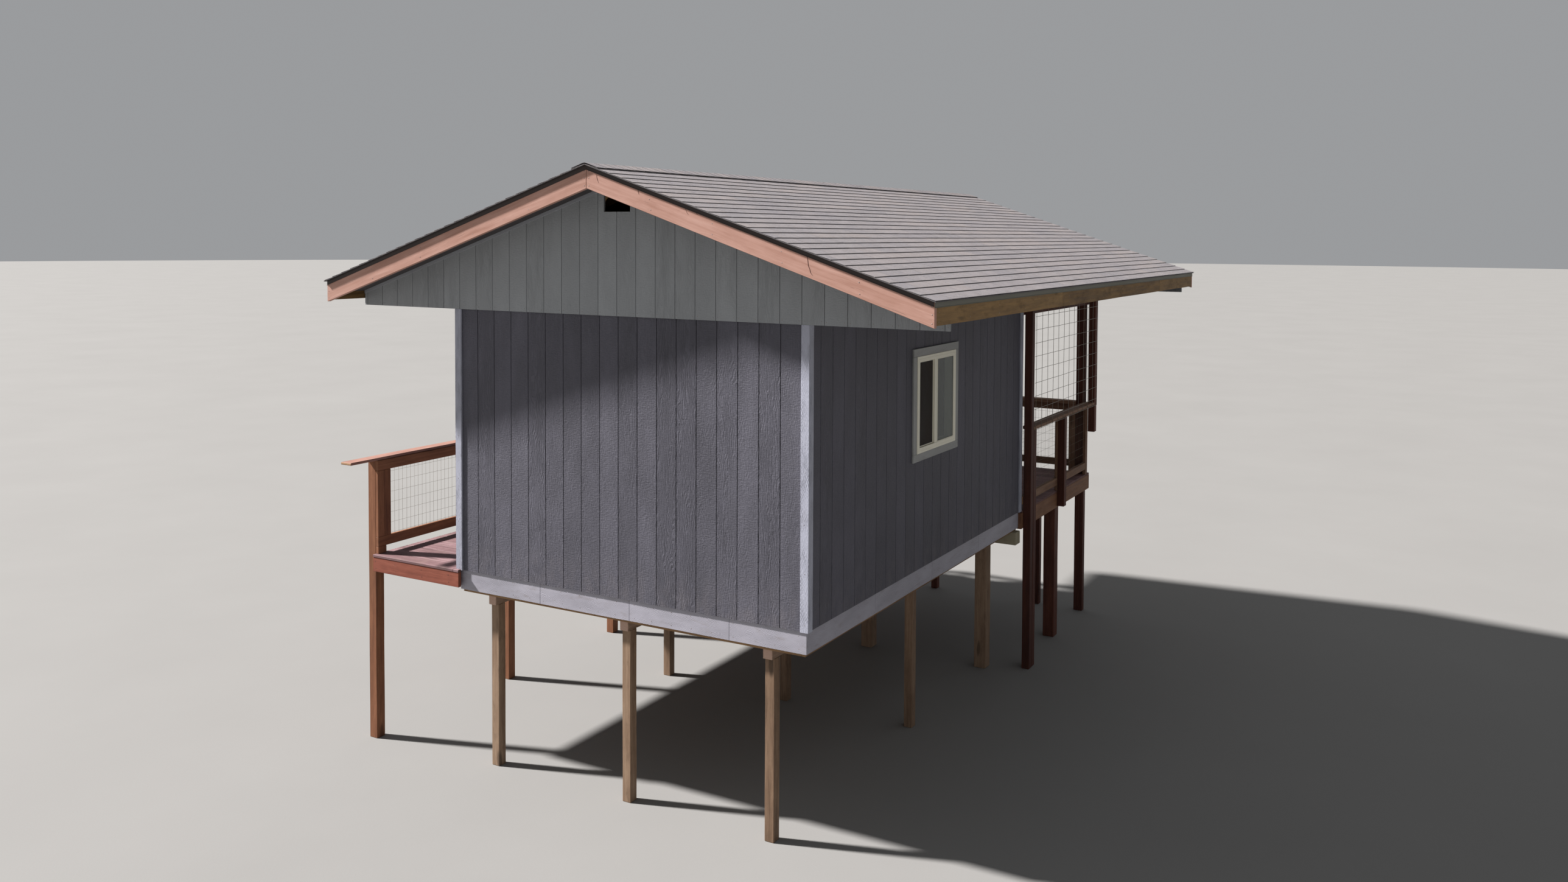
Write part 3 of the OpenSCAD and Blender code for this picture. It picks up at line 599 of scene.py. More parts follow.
M = {}
M["siding"] = siding("charcoal_grooved_siding", srgb(83, 82, 91), srgb(132, 131, 143), srgb(22, 19, 20))
M["gable"] = siding("grey_gable_siding", srgb(143, 146, 149), srgb(164, 167, 171), srgb(64, 63, 63), emboss=0.0024, dirty=0.22, relief_shading=0.16, groove_shade_mix=0.45)
M["trim"] = painted("light_grey_trim_paint", srgb(168, 170, 184), srgb(116, 108, 108), emboss=0.0042, dirty=0.16, tone_and_relief_shade=0.2)
M["skirt"] = painted("light_grey_skirt_paint", srgb(158, 156, 166), srgb(118, 108, 102), emboss=0.0012, dirty=0.5, rough=0.5, fine_s=0.6, tone_and_relief_shade=0.2)
M["gable_trim"] = painted("mid_grey_trim_paint", srgb(146, 148, 154), srgb(100, 96, 94), emboss=0.0012, dirty=0.2)
M["casing"] = painted("window_casing_paint", srgb(152, 153, 152), srgb(112, 108, 100), emboss=0.0018, dirty=0.25)
M["soffit"] = painted("charcoal_soffit_paint", srgb(64, 61, 62), srgb(44, 40, 38), emboss=0.0008, dirty=0.3, coords=(1, 0, 2))
M["door"] = painted("charcoal_door_paint", srgb(74, 74, 82), srgb(52, 48, 46), emboss=0.0005, dirty=0.18, rough=0.45)
M["lining"] = wood("plywood_lining", srgb(150, 118, 80), srgb(178, 146, 104), srgb(198, 168, 126), knots=0.3, crack=0.1, grime=0.15)
M["ply_x"] = wood("plywood_sheet", srgb(140, 108, 74), srgb(168, 134, 94), srgb(190, 158, 116), coords=(1, 0, 2), knots=0.35, crack=0.15, grime=0.25)
M["ply_slope"] = wood("roof_sheathing_wood", srgb(120, 88, 58), srgb(150, 114, 76), srgb(172, 138, 98), coords=(1, 0, 2), knots=0.35, crack=0.15, grime=0.25)
M["truss"] = wood("framing_timber", srgb(150, 112, 70), srgb(182, 144, 98), srgb(204, 168, 122), coords=(0, 1, 2), knots=0.4, crack=0.2, grime=0.2)
M["skid"] = wood("weathered_timber", srgb(112, 90, 74), srgb(146, 122, 104), srgb(172, 148, 130), cut=srgb(196, 164, 146), knots=0.6, crack=0.8, grime=0.4, bumpy=0.0022, cutmix=1.0)
M["pier"] = wood("weathered_pier_timber", srgb(88, 68, 52), srgb(124, 100, 80), srgb(152, 128, 106), cut=srgb(150, 124, 98), knots=0.6, crack=0.9, grime=0.5, bumpy=0.0024)
M["girder"] = painted("pale_beam_paint", srgb(150, 142, 120), srgb(104, 92, 74), emboss=0.0014, dirty=0.5)
M["joist"] = wood("treated_joist_timber", srgb(88, 64, 42), srgb(122, 92, 62), srgb(150, 118, 84), knots=0.5, crack=0.5, grime=0.45, bumpy=0.0016)
M["rake"] = wood("rake_board_stain", srgb(158, 116, 100), srgb(180, 140, 126), srgb(194, 158, 145), cut=srgb(170, 130, 113), knots=0.55, crack=1.0, grime=0.12, tone=0.15, bumpy=0.0012, fibre=0.6, cutmix=0.6)
M["fascia"] = wood("eave_board_cedar", srgb(74, 54, 30), srgb(118, 91, 54), srgb(146, 116, 74), cut=srgb(160, 126, 84), knots=0.6, crack=0.7, grime=0.55, grime_col=srgb(50, 38, 24), bumpy=0.0016, tone=0.3)
M["side"] = wood("orange_brown_stain", srgb(90, 54, 37), srgb(122, 79, 54), srgb(150, 103, 75), cut=srgb(134, 88, 62), cutmix=0.5, knots=0.55, crack=0.7, grime=0.3, bumpy=0.0016, tone=0.35)
M["side_cap"] = wood("worn_cap_stain", srgb(112, 78, 68), srgb(136, 98, 86), srgb(160, 124, 112), cut=srgb(170, 136, 104), knots=0.5, crack=0.8, grime=0.25, bumpy=0.0018, tone=0.3, cutmix=1.0)
M["deck"] = wood("dusty_deck_stain", srgb(90, 66, 66), srgb(116, 88, 90), srgb(142, 115, 118), cut=srgb(104, 72, 62), knots=0.5, crack=0.6, grime=0.4, grime_col=srgb(128, 108, 100), bumpy=0.0014, tone=0.45)
M["deck_fascia"] = wood("red_brown_stain", srgb(96, 50, 38), srgb(128, 70, 54), srgb(150, 90, 72), cut=srgb(130, 76, 56), knots=0.5, crack=0.5, grime=0.3, bumpy=0.0014, tone=0.3)
M["porch"] = wood("dark_porch_stain", srgb(52, 26, 20), srgb(78, 42, 32), srgb(104, 62, 48), cut=srgb(120, 76, 54), knots=0.5, crack=0.6, grime=0.3, bumpy=0.0016, tone=0.4)
M["rim"] = wood("brown_rim_stain", srgb(82, 52, 36), srgb(112, 76, 54), srgb(138, 102, 76), cut=srgb(120, 84, 60), knots=0.5, crack=0.5, grime=0.35, bumpy=0.0014, tone=0.3)
M["rail"] = wood("brown_rail_stain", srgb(88, 62, 46), srgb(120, 90, 70), srgb(148, 120, 98), cut=srgb(150, 116, 88), knots=0.5, crack=0.7, grime=0.3, bumpy=0.0016, tone=0.4)
M["shingle"] = shingle_mat("asphalt_shingle_grit", srgb(131, 127, 129), srgb(144, 128, 116), srgb(112, 115, 127))
M["underlay"] = M["shingle"]
M["drip"] = metal_sheet("eave_metal_strip", srgb(88, 87, 74), 0.5)
# painted shade: the rake strip is a darkened copy of the eave metal, standing for the shadow under the shingle edge
M["drip_dark"] = metal_sheet("rake_metal_strip_painted_shade", srgb(50, 40, 37), 0.5)
M["nail"] = metal_sheet("nail_heads", srgb(132, 122, 118), 0.45, rust=0.6)
M["nail_dark"] = metal_sheet("dark_screw_heads", srgb(52, 44, 40), 0.5, rust=0.6)
M["wire"] = metal_sheet("galvanised_wire", srgb(128, 122, 112), 0.45, rust=0.35)
M["mesh"] = metal_sheet("welded_mesh_wire", srgb(116, 106, 92), 0.5, rust=0.4)
M["vinyl"] = vinyl_mat("cream_vinyl", srgb(226, 222, 204))
M["gasket"] = metal_sheet("glazing_gasket", srgb(46, 46, 46), 0.6, rust=0.0)
M["glass_l"] = glass_mat("clear_glass_left", srgb(186, 194, 192), 0.01, 0.9)
M["glass_r"] = glass_mat("clear_glass", srgb(186, 194, 192), 0.01, 0.9)
sm = Mat("insect_screen_weave", 0.7, 0.25)
so = sm.attr("gc")
sw = sm.math("ADD", sm.math("SINE", sm.math("MULTIPLY", sm.node("ShaderNodeSeparateXYZ", Vector=so).outputs[0], 2 * math.pi / 0.0018)),
             sm.math("SINE", sm.math("MULTIPLY", sm.node("ShaderNodeSeparateXYZ", Vector=so).outputs[1], 2 * math.pi / 0.0018)))
sn = sm.noise(sm.scale(so, 5.0, 9.0, 9.0), 1.0, 4.0, 0.6)
sm.b.inputs["Alpha"].default_value = 0.84
M["screen"] = sm.done(sm.ramp(sm.math("MULTIPLY_ADD", sw, 0.1, sn), [(0.3, srgb(40, 35, 32)), (0.5, srgb(50, 44, 41)), (0.75, srgb(64, 57, 52))]),
                      sm.bump(sw, 0.0003), sm.rng(sn, 0.3, 0.7, 0.6, 0.8))
M["knob"] = metal_sheet("satin_nickel", srgb(168, 164, 156), 0.28, rust=0.05, coords=(0, 1, 2))
M["knob"].node_tree.nodes["Principled BSDF"].inputs["Metallic"].default_value = 0.9

# ---------------------------------------------------------------- kept CAD nodes
for node, key in {"floor_deck": "ply_x", "house_ceiling": "ply_x", "roof_trusses": "truss", "sheathing_left": "ply_slope",
                  "sheathing_right": "ply_slope", "eave_soffits": "soffit", "rake_soffits": "soffit", "porch_ceiling": "ply_x",
                  "door_knob": "knob"}.items():
    ob = NODES[node]
    ob.data.materials.clear()
    ob.data.materials.append(M[key])

# ---------------------------------------------------------------- walls
to_front = lambda a, d, z: (a, -d, z)
to_back = lambda a, d, z: (a, Y_B + d, z)
to_right = lambda a, d, z: (W + SID + d, a, z)
to_left = lambda a, d, z: (-SID - d, a, z)
g_front = [G0 + GP * k for k in range(-8, 26)]
g_side = [GS + GP * n for n in range(1, 25)]

s = Solid()
sheet_wall(s, to_front, 0, W, FLOOR, Z_W, g_front, G0)
s.make("front_siding", [M["siding"], M["lining"]], "dark_siding", "front_wall", recalc=True)
s = Solid()
sheet_wall(s, to_right, 0.5, Y_B - 0.5, FLOOR, Z_W, g_side, GS, hole=(WY0, WY0 + WIN, WZ0, WZ0 + WIN))
s.make("right_siding", [M["siding"], M["lining"]], "dark_siding", "right_wall", recalc=True)
s = Solid()
sheet_wall(s, to_left, 0.5, Y_B - 0.5, FLOOR, Z_W, g_side, GS, hole=(DY0, DY0 + DW, FLOOR, FLOOR + DH), rows=(FLOOR + 1.0,))
s.make("left_siding", [M["siding"], M["lining"]], "dark_siding", "left_wall", recalc=True)
s = Solid()
sheet_wall(s, to_back, 0, W, FLOOR, Z_W, g_front, G0, hole=(WX0, WX0 + WIN, WZ0, WZ0 + WIN))
s.make("back_siding", [M["siding"], M["lining"]], "dark_siding", "back_wall", recalc=True)

# gables
vent = (XM - 141, XM + 141, 3526, 3676)
s = Solid()
sheet_wall(s, lambda a, d, z: (a, -TRIM - d, z), X_GL, X_GR, Z_W - 2, lambda a: zr(a) - SO, g_front, G0, hole=vent, thick=TRIM, gw=4.8, gd=3.8, mi_in=0)
s.make("front_gable_siding", [M["gable"]], "gable_siding", "gable_front", recalc=True, weld=0.02)
s = Solid()
sheet_wall(s, lambda a, d, z: (a, Y_P + TRIM + d, z), X_GL, X_GR, Z_W - 2, lambda a: zr(a) - SO, g_front, G0, hole=vent, thick=TRIM, gw=4.8, gd=3.8, mi_in=0)
s.make("back_gable_siding", [M["gable"]], "gable_siding", "gable_back", recalc=True, weld=0.02)


def slope_warp(v):
    v = v.copy()
    v[:, 2] += RZ - np.abs(v[:, 0] - XM) * SL
    return v


s = Solid()
for y0, y1 in ((-TRIM - 9, -TRIM), (Y_P + TRIM, Y_P + TRIM + 9)):
    board(s, (X_GL, y0, -SO - 30), (XM - 1, y1, -SO), 0, 1.0, 500, 0.4, slope_warp)
    board(s, (XM + 1, y0, -SO - 30), (X_GR, y1, -SO), 0, 1.0, 500, 0.4, slope_warp)
s.make("gable_top_trims", M["gable_trim"], "gable_trim_paint", "gable_trims")

# ---------------------------------------------------------------- trims and skirts
s = Solid()
for sx in (-1, 1):
    xa = W + SID if sx > 0 else -SID
    for sy in (-1, 1):
        ya = Y_B if sy > 0 else 0.0
        top = Z_C if sy > 0 else Z_W - 2
        x0, x1 = sorted((xa + sx * TRIM, xa - sx * 56))
        y0, y1 = sorted((ya, ya + sy * TRIM))
        board(s, (x0, y0, FLOOR), (x1, y1, top), 2, 2.2, 260, 0.8)
        x0, x1 = sorted((xa, xa + sx * TRIM))
        y0, y1 = sorted((ya - sy * 0.6, ya - sy * 56))
        board(s, (x0, y0, FLOOR), (x1, y1, Z_E), 2, 2.2, 260, 0.8)
s.make("corner_boards", M["trim"], "trim_paint", "corner_trims")

s = Solid()
for a, b in ((0, 969), (971, 1972), (1974, 2999), (3001, W)):
    board(s, (a, SID, 0), (b, SID + TRIM, FLOOR), 0, 1.8, 200, 1.3)
    board(s, (a, Y_H - TRIM, 0), (b, Y_H, FLOOR), 0, 1.8, 200, 1.3)
for a, b in ((SID + TRIM + 1, 1240), (1242, 2470), (2473, 3690), (3692, Y_H - TRIM - 1)):
    board(s, (W - TRIM, a, 0), (W, b, FLOOR), 1, 1.8, 200, 1.3)
    board(s, (0, a, 0), (TRIM, b, FLOOR), 1, 1.8, 200, 1.3)
s.make("skirt_planks", M["skirt"], "trim_paint", "skirt_boards")

# ---------------------------------------------------------------- floor frame and foundation
s = Solid()
board(s, (TRIM, SID + TRIM, Z_F), (TRIM + 38, Y_H - TRIM, FLOOR - 19), 1, 2.5)
board(s, (W - TRIM - 38, SID + TRIM, Z_F), (W - TRIM, Y_H - TRIM, FLOOR - 19), 1, 2.5)
for i in range(13):
    y = SID + TRIM + i * (4897.0 - 2 * TRIM - 38) / 12
    board(s, (TRIM + 39, y, Z_F), (W - TRIM - 39, y + 38, FLOOR - 19), 0, 2.5)
s.make("floor_frame", M["joist"], "treated_timber", "floor_joists")

s = Solid()
for x in (353, 1882, 3343):
    board(s, (x - POST / 2, 55, Z_F - POST), (x + POST / 2, 4742, Z_F), 1, 4, 500, 1.5, rough_end=2)
s.make("floor_timbers", M["skid"], "treated_timber", "skids")
s = Solid()
board(s, (-33, 4742, -165), (W + 33, 4882, Z_F), 0, 4, 500, 1.5, rough_end=2)
s.make("rear_beam", M["girder"], "trim_paint", "rear_girder")
s = Solid()
for x in (353, 1882, 3343):
    for y in (90, 2780):
        board(s, (x - POST / 2, y, -DROP), (x + POST / 2, y + POST, Z_F - POST), 2, 4, 300, 1.6)
    board(s, (x - 70, 4742, -DROP), (x + 70, 4882, -165), 2, 5, 300, 1.8)
s.make("pier_posts", M["pier"], "treated_timber", "house_piers")

# ---------------------------------------------------------------- windows
s = Solid()
cas = 75.0
for to_plane in ("x", "y"):
    if to_plane == "x":
        a0, a1, f0, f1 = WY0, WY0 + WIN, W + SID, W + SID + TRIM
        board(s, (f0, a0 - cas, WZ0 + WIN), (f1, a1 + cas, WZ0 + WIN + cas), 1, 2.2, 260, 0.5)
        board(s, (f0, a0 - cas, WZ0 - cas), (f1, a1 + cas, WZ0), 1, 2.2, 260, 0.5)
        board(s, (f0, a0 - cas, WZ0 + 0.6), (f1, a0, WZ0 + WIN - 0.6), 2, 2.2, 260, 0.5)
        board(s, (f0, a1, WZ0 + 0.6), (f1, a1 + cas, WZ0 + WIN - 0.6), 2, 2.2, 260, 0.5)
    else:
        a0, a1, f0, f1 = WX0, WX0 + WIN, Y_B, Y_B + TRIM
        board(s, (a0 - cas, f0, WZ0 + WIN), (a1 + cas, f1, WZ0 + WIN + cas), 0, 2.2, 260, 0.5)
        board(s, (a0 - cas, f0, WZ0 - cas), (a1 + cas, f1, WZ0), 0, 2.2, 260, 0.5)
        board(s, (a0 - cas, f0, WZ0 + 0.6), (a0, f1, WZ0 + WIN - 0.6), 2, 2.2, 260, 0.5)
        board(s, (a1, f0, WZ0 + 0.6), (a1 + cas, f1, WZ0 + WIN - 0.6), 2, 2.2, 260, 0.5)
s.make("window_casing_boards", M["casing"], "trim_paint", "window_casings")

fr_prof = [(0, -80), (0, 22), (2, 24), (22, 24), (24, 22.5), (26, 24), (50, 24), (52, 22), (52, -78), (50, -80)]
sa_prof = [(0, -27), (0, 4), (1, 5), (7, 5), (9, 3), (9, -25), (7, -27)]
s, sa, gk, gl, sc = Solid(), Solid(), Solid(), Solid(), Solid()


def slab(dst, fn, a, b, d0, d1, z0, z1, ch=1.5, mi=0):
    c = [fn(a, d0, z0), fn(b, d1, z1)]
    board(dst, np.minimum(c[0], c[1]), np.maximum(c[0], c[1]), 2, ch, 2000, 0.0, tone=0.5, mi=mi)


for fn, a0, flip in ((to_right, WY0, False), (to_back, WX0, True)):
    def al(lo, hi, a0=a0, flip=flip):
        return (a0 + WIN - hi, a0 + WIN - lo) if flip else (a0 + lo, a0 + hi)

    zb, zt = WZ0, WZ0 + WIN
    frame_sweep(s, fn, a0, a0 + WIN, zb, zt, fr_prof)
    # meeting post with a shallow step along its middle
    slab(s, fn, *al(398, 464), -80, 12, zb + 51, zt - 51)
    slab(s, fn, *al(399, 429), 8, 21, zb + 51, zt - 51, 2.0)
    slab(s, fn, *al(431, 463), 8, 20, zb + 51, zt - 51, 2.0)
    # sliding sash behind its insect screen
    q0, q1 = al(53, 397)
    frame_sweep(sa, fn, q0, q1, zb + 53, zt - 53, sa_prof)
    frame_sweep(gk, fn, q0 + 9, q1 - 9, zb + 62, zt - 62, [(0, -4), (0, 3.6), (4, 3.6), (4, -4)])
    slab(sc, fn, q0 + 12, q1 - 12, 1.6, 2.6, zb + 65, zt - 65, 0.3)
    # fixed pane in its bead
    f0, f1 = al(464, WIN - 52)
    frame_sweep(s, fn, f0, f1, zb + 52, zt - 52, [(0, 17), (0, 22.5), (5, 22.5), (8.5, 18.5), (8.5, 17)])
    frame_sweep(gk, fn, f0 + 8, f1 - 8, zb + 60, zt - 60, [(0, 16.6), (0, 18.3), (2.5, 18.3), (2.5, 16.6)])
    slab(gl, fn, *al(62, 388), -9, -3, zb + 62, zt - 62, 1.0, 0)
    slab(gl, fn, *al(464, WIN - 52), 11, 17, zb + 52, zt - 52, 1.0, 1)
s.make("window_frame_profiles", M["vinyl"], "vinyl", "window_frames", recalc=True)
sa.make("window_sash_profiles", M["vinyl"], "vinyl", "window_sashes", recalc=True)
gk.make("window_gaskets", M["gasket"], "vinyl", recalc=True)
sc.make("window_insect_screens", M["screen"], "vinyl")
gl.make("window_panes", [M["glass_l"], M["glass_r"]], "window_glass", "window_glass")

# ---------------------------------------------------------------- door on the side deck
s = Solid()
xo = -SID - TRIM
board(s, (-SID, DY0, FLOOR + 20), (-SID + WALL, DY0 + 18, FLOOR + DH - 18), 2, 1.5, 500, 0.3)
board(s, (-SID, DY0 + DW - 18, FLOOR + 20), (-SID + WALL, DY0 + DW, FLOOR + DH - 18), 2, 1.5, 500, 0.3)
board(s, (-SID, DY0, FLOOR + DH - 18), (-SID + WALL, DY0 + DW, FLOOR + DH), 1, 1.5, 500, 0.3)
board(s, (xo, DY0 + 12, FLOOR), (-SID + WALL, DY0 + DW - 12, FLOOR + 20), 1, 3, 500, 0.3)
board(s, (xo, DY0 - cas, FLOOR), (-SID, DY0 + 12, FLOOR + DH - 12), 2, 2.2, 300, 0.6)
board(s, (xo, DY0 + DW - 12, FLOOR), (-SID, DY0 + DW + cas, FLOOR + DH - 12), 2, 2.2, 300, 0.6)
board(s, (xo, DY0 - cas, FLOOR + DH - 11.4), (-SID, DY0 + DW + cas, FLOOR + DH + cas), 1, 2.2, 300, 0.6)
s.make("door_casing_boards", M["casing"], "trim_paint", "door_frame")
s = Solid()
dy0, dy1, dz0, dz1 = DY0 + 20, DY0 + DW - 20, FLOOR + 22, FLOOR + DH - 20
cols = ((dy0, dy0 + 110), (dy0 + 400, dy0 + 510), (dy1 - 110, dy1))
rowsd = ((dz0, dz0 + 220), (dz0 + 800, dz0 + 960), (dz0 + 1560, dz0 + 1660), (dz1 - 120, dz1))
for a, b in cols:
    board(s, (0, a, dz0), (44, b, dz1), 2, 2.0, 500, 0.3)
for a, b in rowsd:
    for c0, c1 in ((cols[0][1], cols[1][0]), (cols[1][1], cols[2][0])):
        board(s, (1, c0 - 3, a), (43, c1 + 3, b), 1, 2.0, 500, 0.0)
for k in range(3):
    for c0, c1 in ((cols[0][1], cols[1][0]), (cols[1][1], cols[2][0])):
        board(s, (12, c0 - 4, rowsd[k][1] - 4), (32, c1 + 4, rowsd[k + 1][0] + 4), 2, 1.0, 900, 0.0)
        board(s, (5, c0 + 28, rowsd[k][1] + 28), (39, c1 - 28, rowsd[k + 1][0] - 28), 2, 9.0, 900, 0.0)
s.make("door_panels", M["door"], "door_paint", "door_leaf")

# ---------------------------------------------------------------- roof
R_END, EXPO = 3156.0, 120.6
TOP_R = 118.0


def tab(s, side, r0, r1, y0, y1, o0, o1, th, tone, jr=1.4, jo=0.5):
    """A shingle tab. r is the run from the ridge, o the depth under the roof plane."""
    pts, gc, cut = [], [], []
    off = (rnd.uniform(0, 40), rnd.uniform(0, 40), rnd.uniform(0, 40))
    j = [rnd.uniform(-jr, jr) for _ in range(2)]
    q = [rnd.uniform(-jo, jo) for _ in range(2)]
    for lay in (0, 1):
        for r, o, e in ((r0, o0, 0), (r1, o1, 1)):
            for k, y in enumerate((y0, y1)):
                rr = r + (j[k] if e == 0 else 0)
                oo = o + (q[k] if e == 0 else 0) + lay * th
                pts.append((XM + side * rr, y, RZ - SL * rr - oo))
                gc.append((y / 1000 + off[0], rr / 1000 + off[1], oo / 1000))
                # the lower layer is marked for the painted shade under the butt
                cut.append(1.0 if lay == 1 else 0.0)
    # 0,1 butt top; 2,3 head top; 4..7 the same below
    f = [(0, 1, 3, 2), (4, 6, 7, 5), (0, 4, 5, 1), (2, 3, 7, 6), (0, 2, 6, 4), (1, 5, 7, 3)]
    if side < 0:
        f = [x[::-1] for x in f]
    s.add(pts, f, gc, tone, cut)


for side, node in ((-1, "shingles_left"), (1, "shingles_right")):
    s = Solid()
    # underlay and starter strip
    for y0 in np.arange(Y_S0, Y_S1 - 1, (Y_S1 - Y_S0) / 8):
        tab(s, side, R_END - 2, 1.0, y0, y0 + (Y_S1 - Y_S0) / 8, 10.0, 10.0, 3.9, 0.3, 0, 0)
    k = 0
    r = R_END
    while r > TOP_R + 10:
        head = max(2.0, r - EXPO - 24)
        y = Y_S0 - (152.4 if k % 2 else 0.0) - 30 * ((k * 7) % 3)
        while y < Y_S1:
            a, b = max(Y_S0, y + 1.8), min(Y_S1, y + 304.8 - 1.8)
            if b - a > 15:
                strip = int((y - Y_S0) // 914.4) + k * 17
                base = random.Random(strip * 3 + (side > 0)).random()
                tab(s, side, r - (1.4 if k == 0 else 0.0), head, a, b, 0.6, 7.2, 4.2, 0.6 * base + 0.4 * rnd.random())
            y += 304.8
        r -= EXPO
        k += 1
    s.make("roof_courses_" + ("left" if side < 0 else "right"), M["shingle"], "shingle", node, recalc=False)

# ridge caps: folded tabs, each over the one before
s = Solid()
y, k = Y_S0, 0
prof_r = [-138, -70, -24, -8, 8, 24, 70, 138]
while y < Y_S1 - 5:
    y1 = min(Y_S1, y + 127 + 26)
    j = rnd.uniform(-2.5, 2.5)
    v, gc, cut = [], [], []
    off = rnd.uniform(0, 40)
    for lay in (0, 1):
        for yy, o in ((y, 7.6), (y1, 4.2)):
            for r in prof_r:
                z = RZ - SL * abs(r) + o - lay * 3.6 - (1.6 if abs(r) < 10 else 0.0)
                v.append((XM + r + j * (abs(r) > 100), yy, z))
                gc.append((yy / 1000 + off, r / 1000, z / 1000))
                # the lower layer is marked for the painted shade under the cap edge
                cut.append(float(lay))
    n = len(prof_r)
    f = []
    for i in range(n - 1):
        f.append((i, i + 1, n + i + 1, n + i))
        f.append((2 * n + i, 3 * n + i, 3 * n + i + 1, 2 * n + i + 1))
        f.append((i, 2 * n + i, 2 * n + i + 1, i + 1))
        f.append((n + i, n + i + 1, 3 * n + i + 1, 3 * n + i))
    f.append((0, n, 3 * n, 2 * n))
    f.append((n - 1, 3 * n - 1, 4 * n - 1, 2 * n - 1))
    s.add(v, f, gc, rnd.random(), cut)
    y += 127
    k += 1
s.make("ridge_shingles", M["shingle"], "shingle", "ridge_cap", recalc=True)

# metal edges with a small kicked hem
s = Solid()
z_t, z_b = zr(X_EL) - 16.0, zr(X_EL) - 60.0
for sgn, xf in ((-1, X_EL), (1, X_ER)):
    ys = np.linspace(Y_RF, Y_RB, 4)
    for a, b in zip(ys[:-1], ys[1:]):
        x0, x1 = sorted((xf, xf + sgn * 2.4))
        board(s, (x0, a, z_b), (x1, b + (8 if b < Y_RB - 1 else 0), z_t), 1, 0.4, 600, 0.5)
        x0, x1 = sorted((xf + sgn * 1.0, xf + sgn * 6.0))
        board(s, (x0, a, z_b - 1.0), (x1, b, z_b + 4.0), 1, 1.2, 600, 0.5)
s2 = Solid()
for y0, sg in ((Y_RF, -1), (Y_RB, 1)):
    for x0, x1 in ((X_EL + 3, XM - 1), (XM + 1, X_ER - 3)):
        a, b = sorted((y0, y0 + sg * 2.4))
        board(s2, (x0, a, -52), (x1, b, -15), 0, 0.4, 600, 0.4, slope_warp)
        a, b = sorted((y0 + sg * 1.0, y0 + sg * 6.0))
        board(s2, (x0, a, -54), (x1, b, -49), 0, 1.2, 600, 0.4, slope_warp)
s.make("eave_metal_edges", M["drip"], "drip_metal", "drip_edges")
s2.make("rake_metal_edges", M["drip_dark"], "drip_metal")

s = Solid()
z1 = zr(X_EL) - 16.0
for x0, x1, cuts in ((X_EL, X_EL + 38, (2300, 5900)), (X_ER - 38, X_ER, (2490, 6160))):
    ys = [Y_RF + 38, *cuts, Y_RB - 38]
    for a, b in zip(ys[:-1], ys[1:]):
        board(s, (x0, a + 0.8, Z_E), (x1, b - 0.8, z1), 1, 2.5, 420, 2.0)
s.make("eave_boards", M["fascia"], "cedar", "eave_fascias")

for name, node, y0, y1 in (("rake_planks_front", "rake_boards_front", Y_RF, Y_RF + 38), ("rake_planks_back", "rake_boards_back", Y_RB - 38, Y_RB)):
    s = Solid()
    board(s, (X_EL, y0, -RA), (XM - 1.2, y1, -14), 0, 2.5, 420, 1.2, slope_warp)
    board(s, (XM + 1.2, y0, -RA), (X_ER, y1, -14), 0, 2.5, 420, 1.2, slope_warp)
    s.make(name, M["rake"], "rake_wood", node)

# ---------------------------------------------------------------- porch
s = Solid()
board(s, (X_RR, 4966, -DROP), (X_RO, 4966 + POST, Z_E), 2, 4, 300, 1.5)
board(s, (-38 - POST, 4966, -DROP), (-38, 4966 + POST, Z_E), 2, 4, 300, 1.5)
board(s, (X_RR, 4977 + POST, -DROP), (X_RO, 4977 + 2 * POST, CAP), 2, 4, 300, 1.5)
for x0, x1 in ((W - POST_C, W), (0, POST_C)):
    for k in range(3):      # built up from three planks
        a = x0 + k * 38
        board(s, (a + 0.3, Y_P - POST, -DROP), (a + 37.7, Y_P, Z_C), 2, 2.5, 300, 0.7)
board(s, (X_RR, Y_PR - POST, 755), (X_RO, Y_PR, Z_W - 2), 2, 4, 300, 1.2)
board(s, (X_RR, 6202, 5), (X_RO, 6202 + POST, CAP), 2, 4, 300, 1.2)
board(s, (W - 128, 6202, -DROP), (W + 12, 6342, Z_J - 184), 2, 5, 300, 1.8)
for x in (1597, 3090):
    board(s, (x - POST / 2, Y_P - POST, -DROP), (x + POST / 2, Y_P, Z_J - 184), 2, 4, 300, 1.5)
s.make("porch_post_timbers", M["porch"], "porch_stain", "porch_posts")

s = Solid()
board(s, (W, Y_B + TRIM, Z_C - 184), (W + 38, Y_PR, Z_C), 1, 3, 420, 1.0)
board(s, (-38, Y_B + TRIM, Z_C - 184), (0, Y_PR, Z_C), 1, 3, 420, 1.0)
s.make("porch_beam_timbers", M["porch"], "porch_stain", "porch_beams")

s = Solid()
board(s, (-DECK_W, Y_H, Z_J - 184), (X_RR, Y_H + 38, Z_J), 0, 2.5)
board(s, (-DECK_W, Y_P, Z_J - 184), (1290, Y_PR, Z_J), 0, 2.5)
board(s, (1292, Y_P, Z_J - 184), (X_RR, Y_PR, Z_J), 0, 2.5)
board(s, (-DECK_W, Y_H + 38.5, Z_J - 184), (-DECK_W + 38, Y_P - 0.5, Z_J), 1, 2.5)
board(s, (W, Y_H + 38.5, Z_J - 184), (X_RR, Y_P - 0.5, Z_J), 1, 2.5)
for i in range(1, 12):
    x = -DECK_W + i * (W + DECK_W) / 12
    board(s, (x, Y_H + 38.5, Z_J - 184), (x + 38, Y_P - (91 if abs(x + 19 - 60) < 80 else 0.5), Z_J), 1, 2.5)
s.make("porch_floor_frame", M["rim"], "deck_frame_stain", "porch_frame")

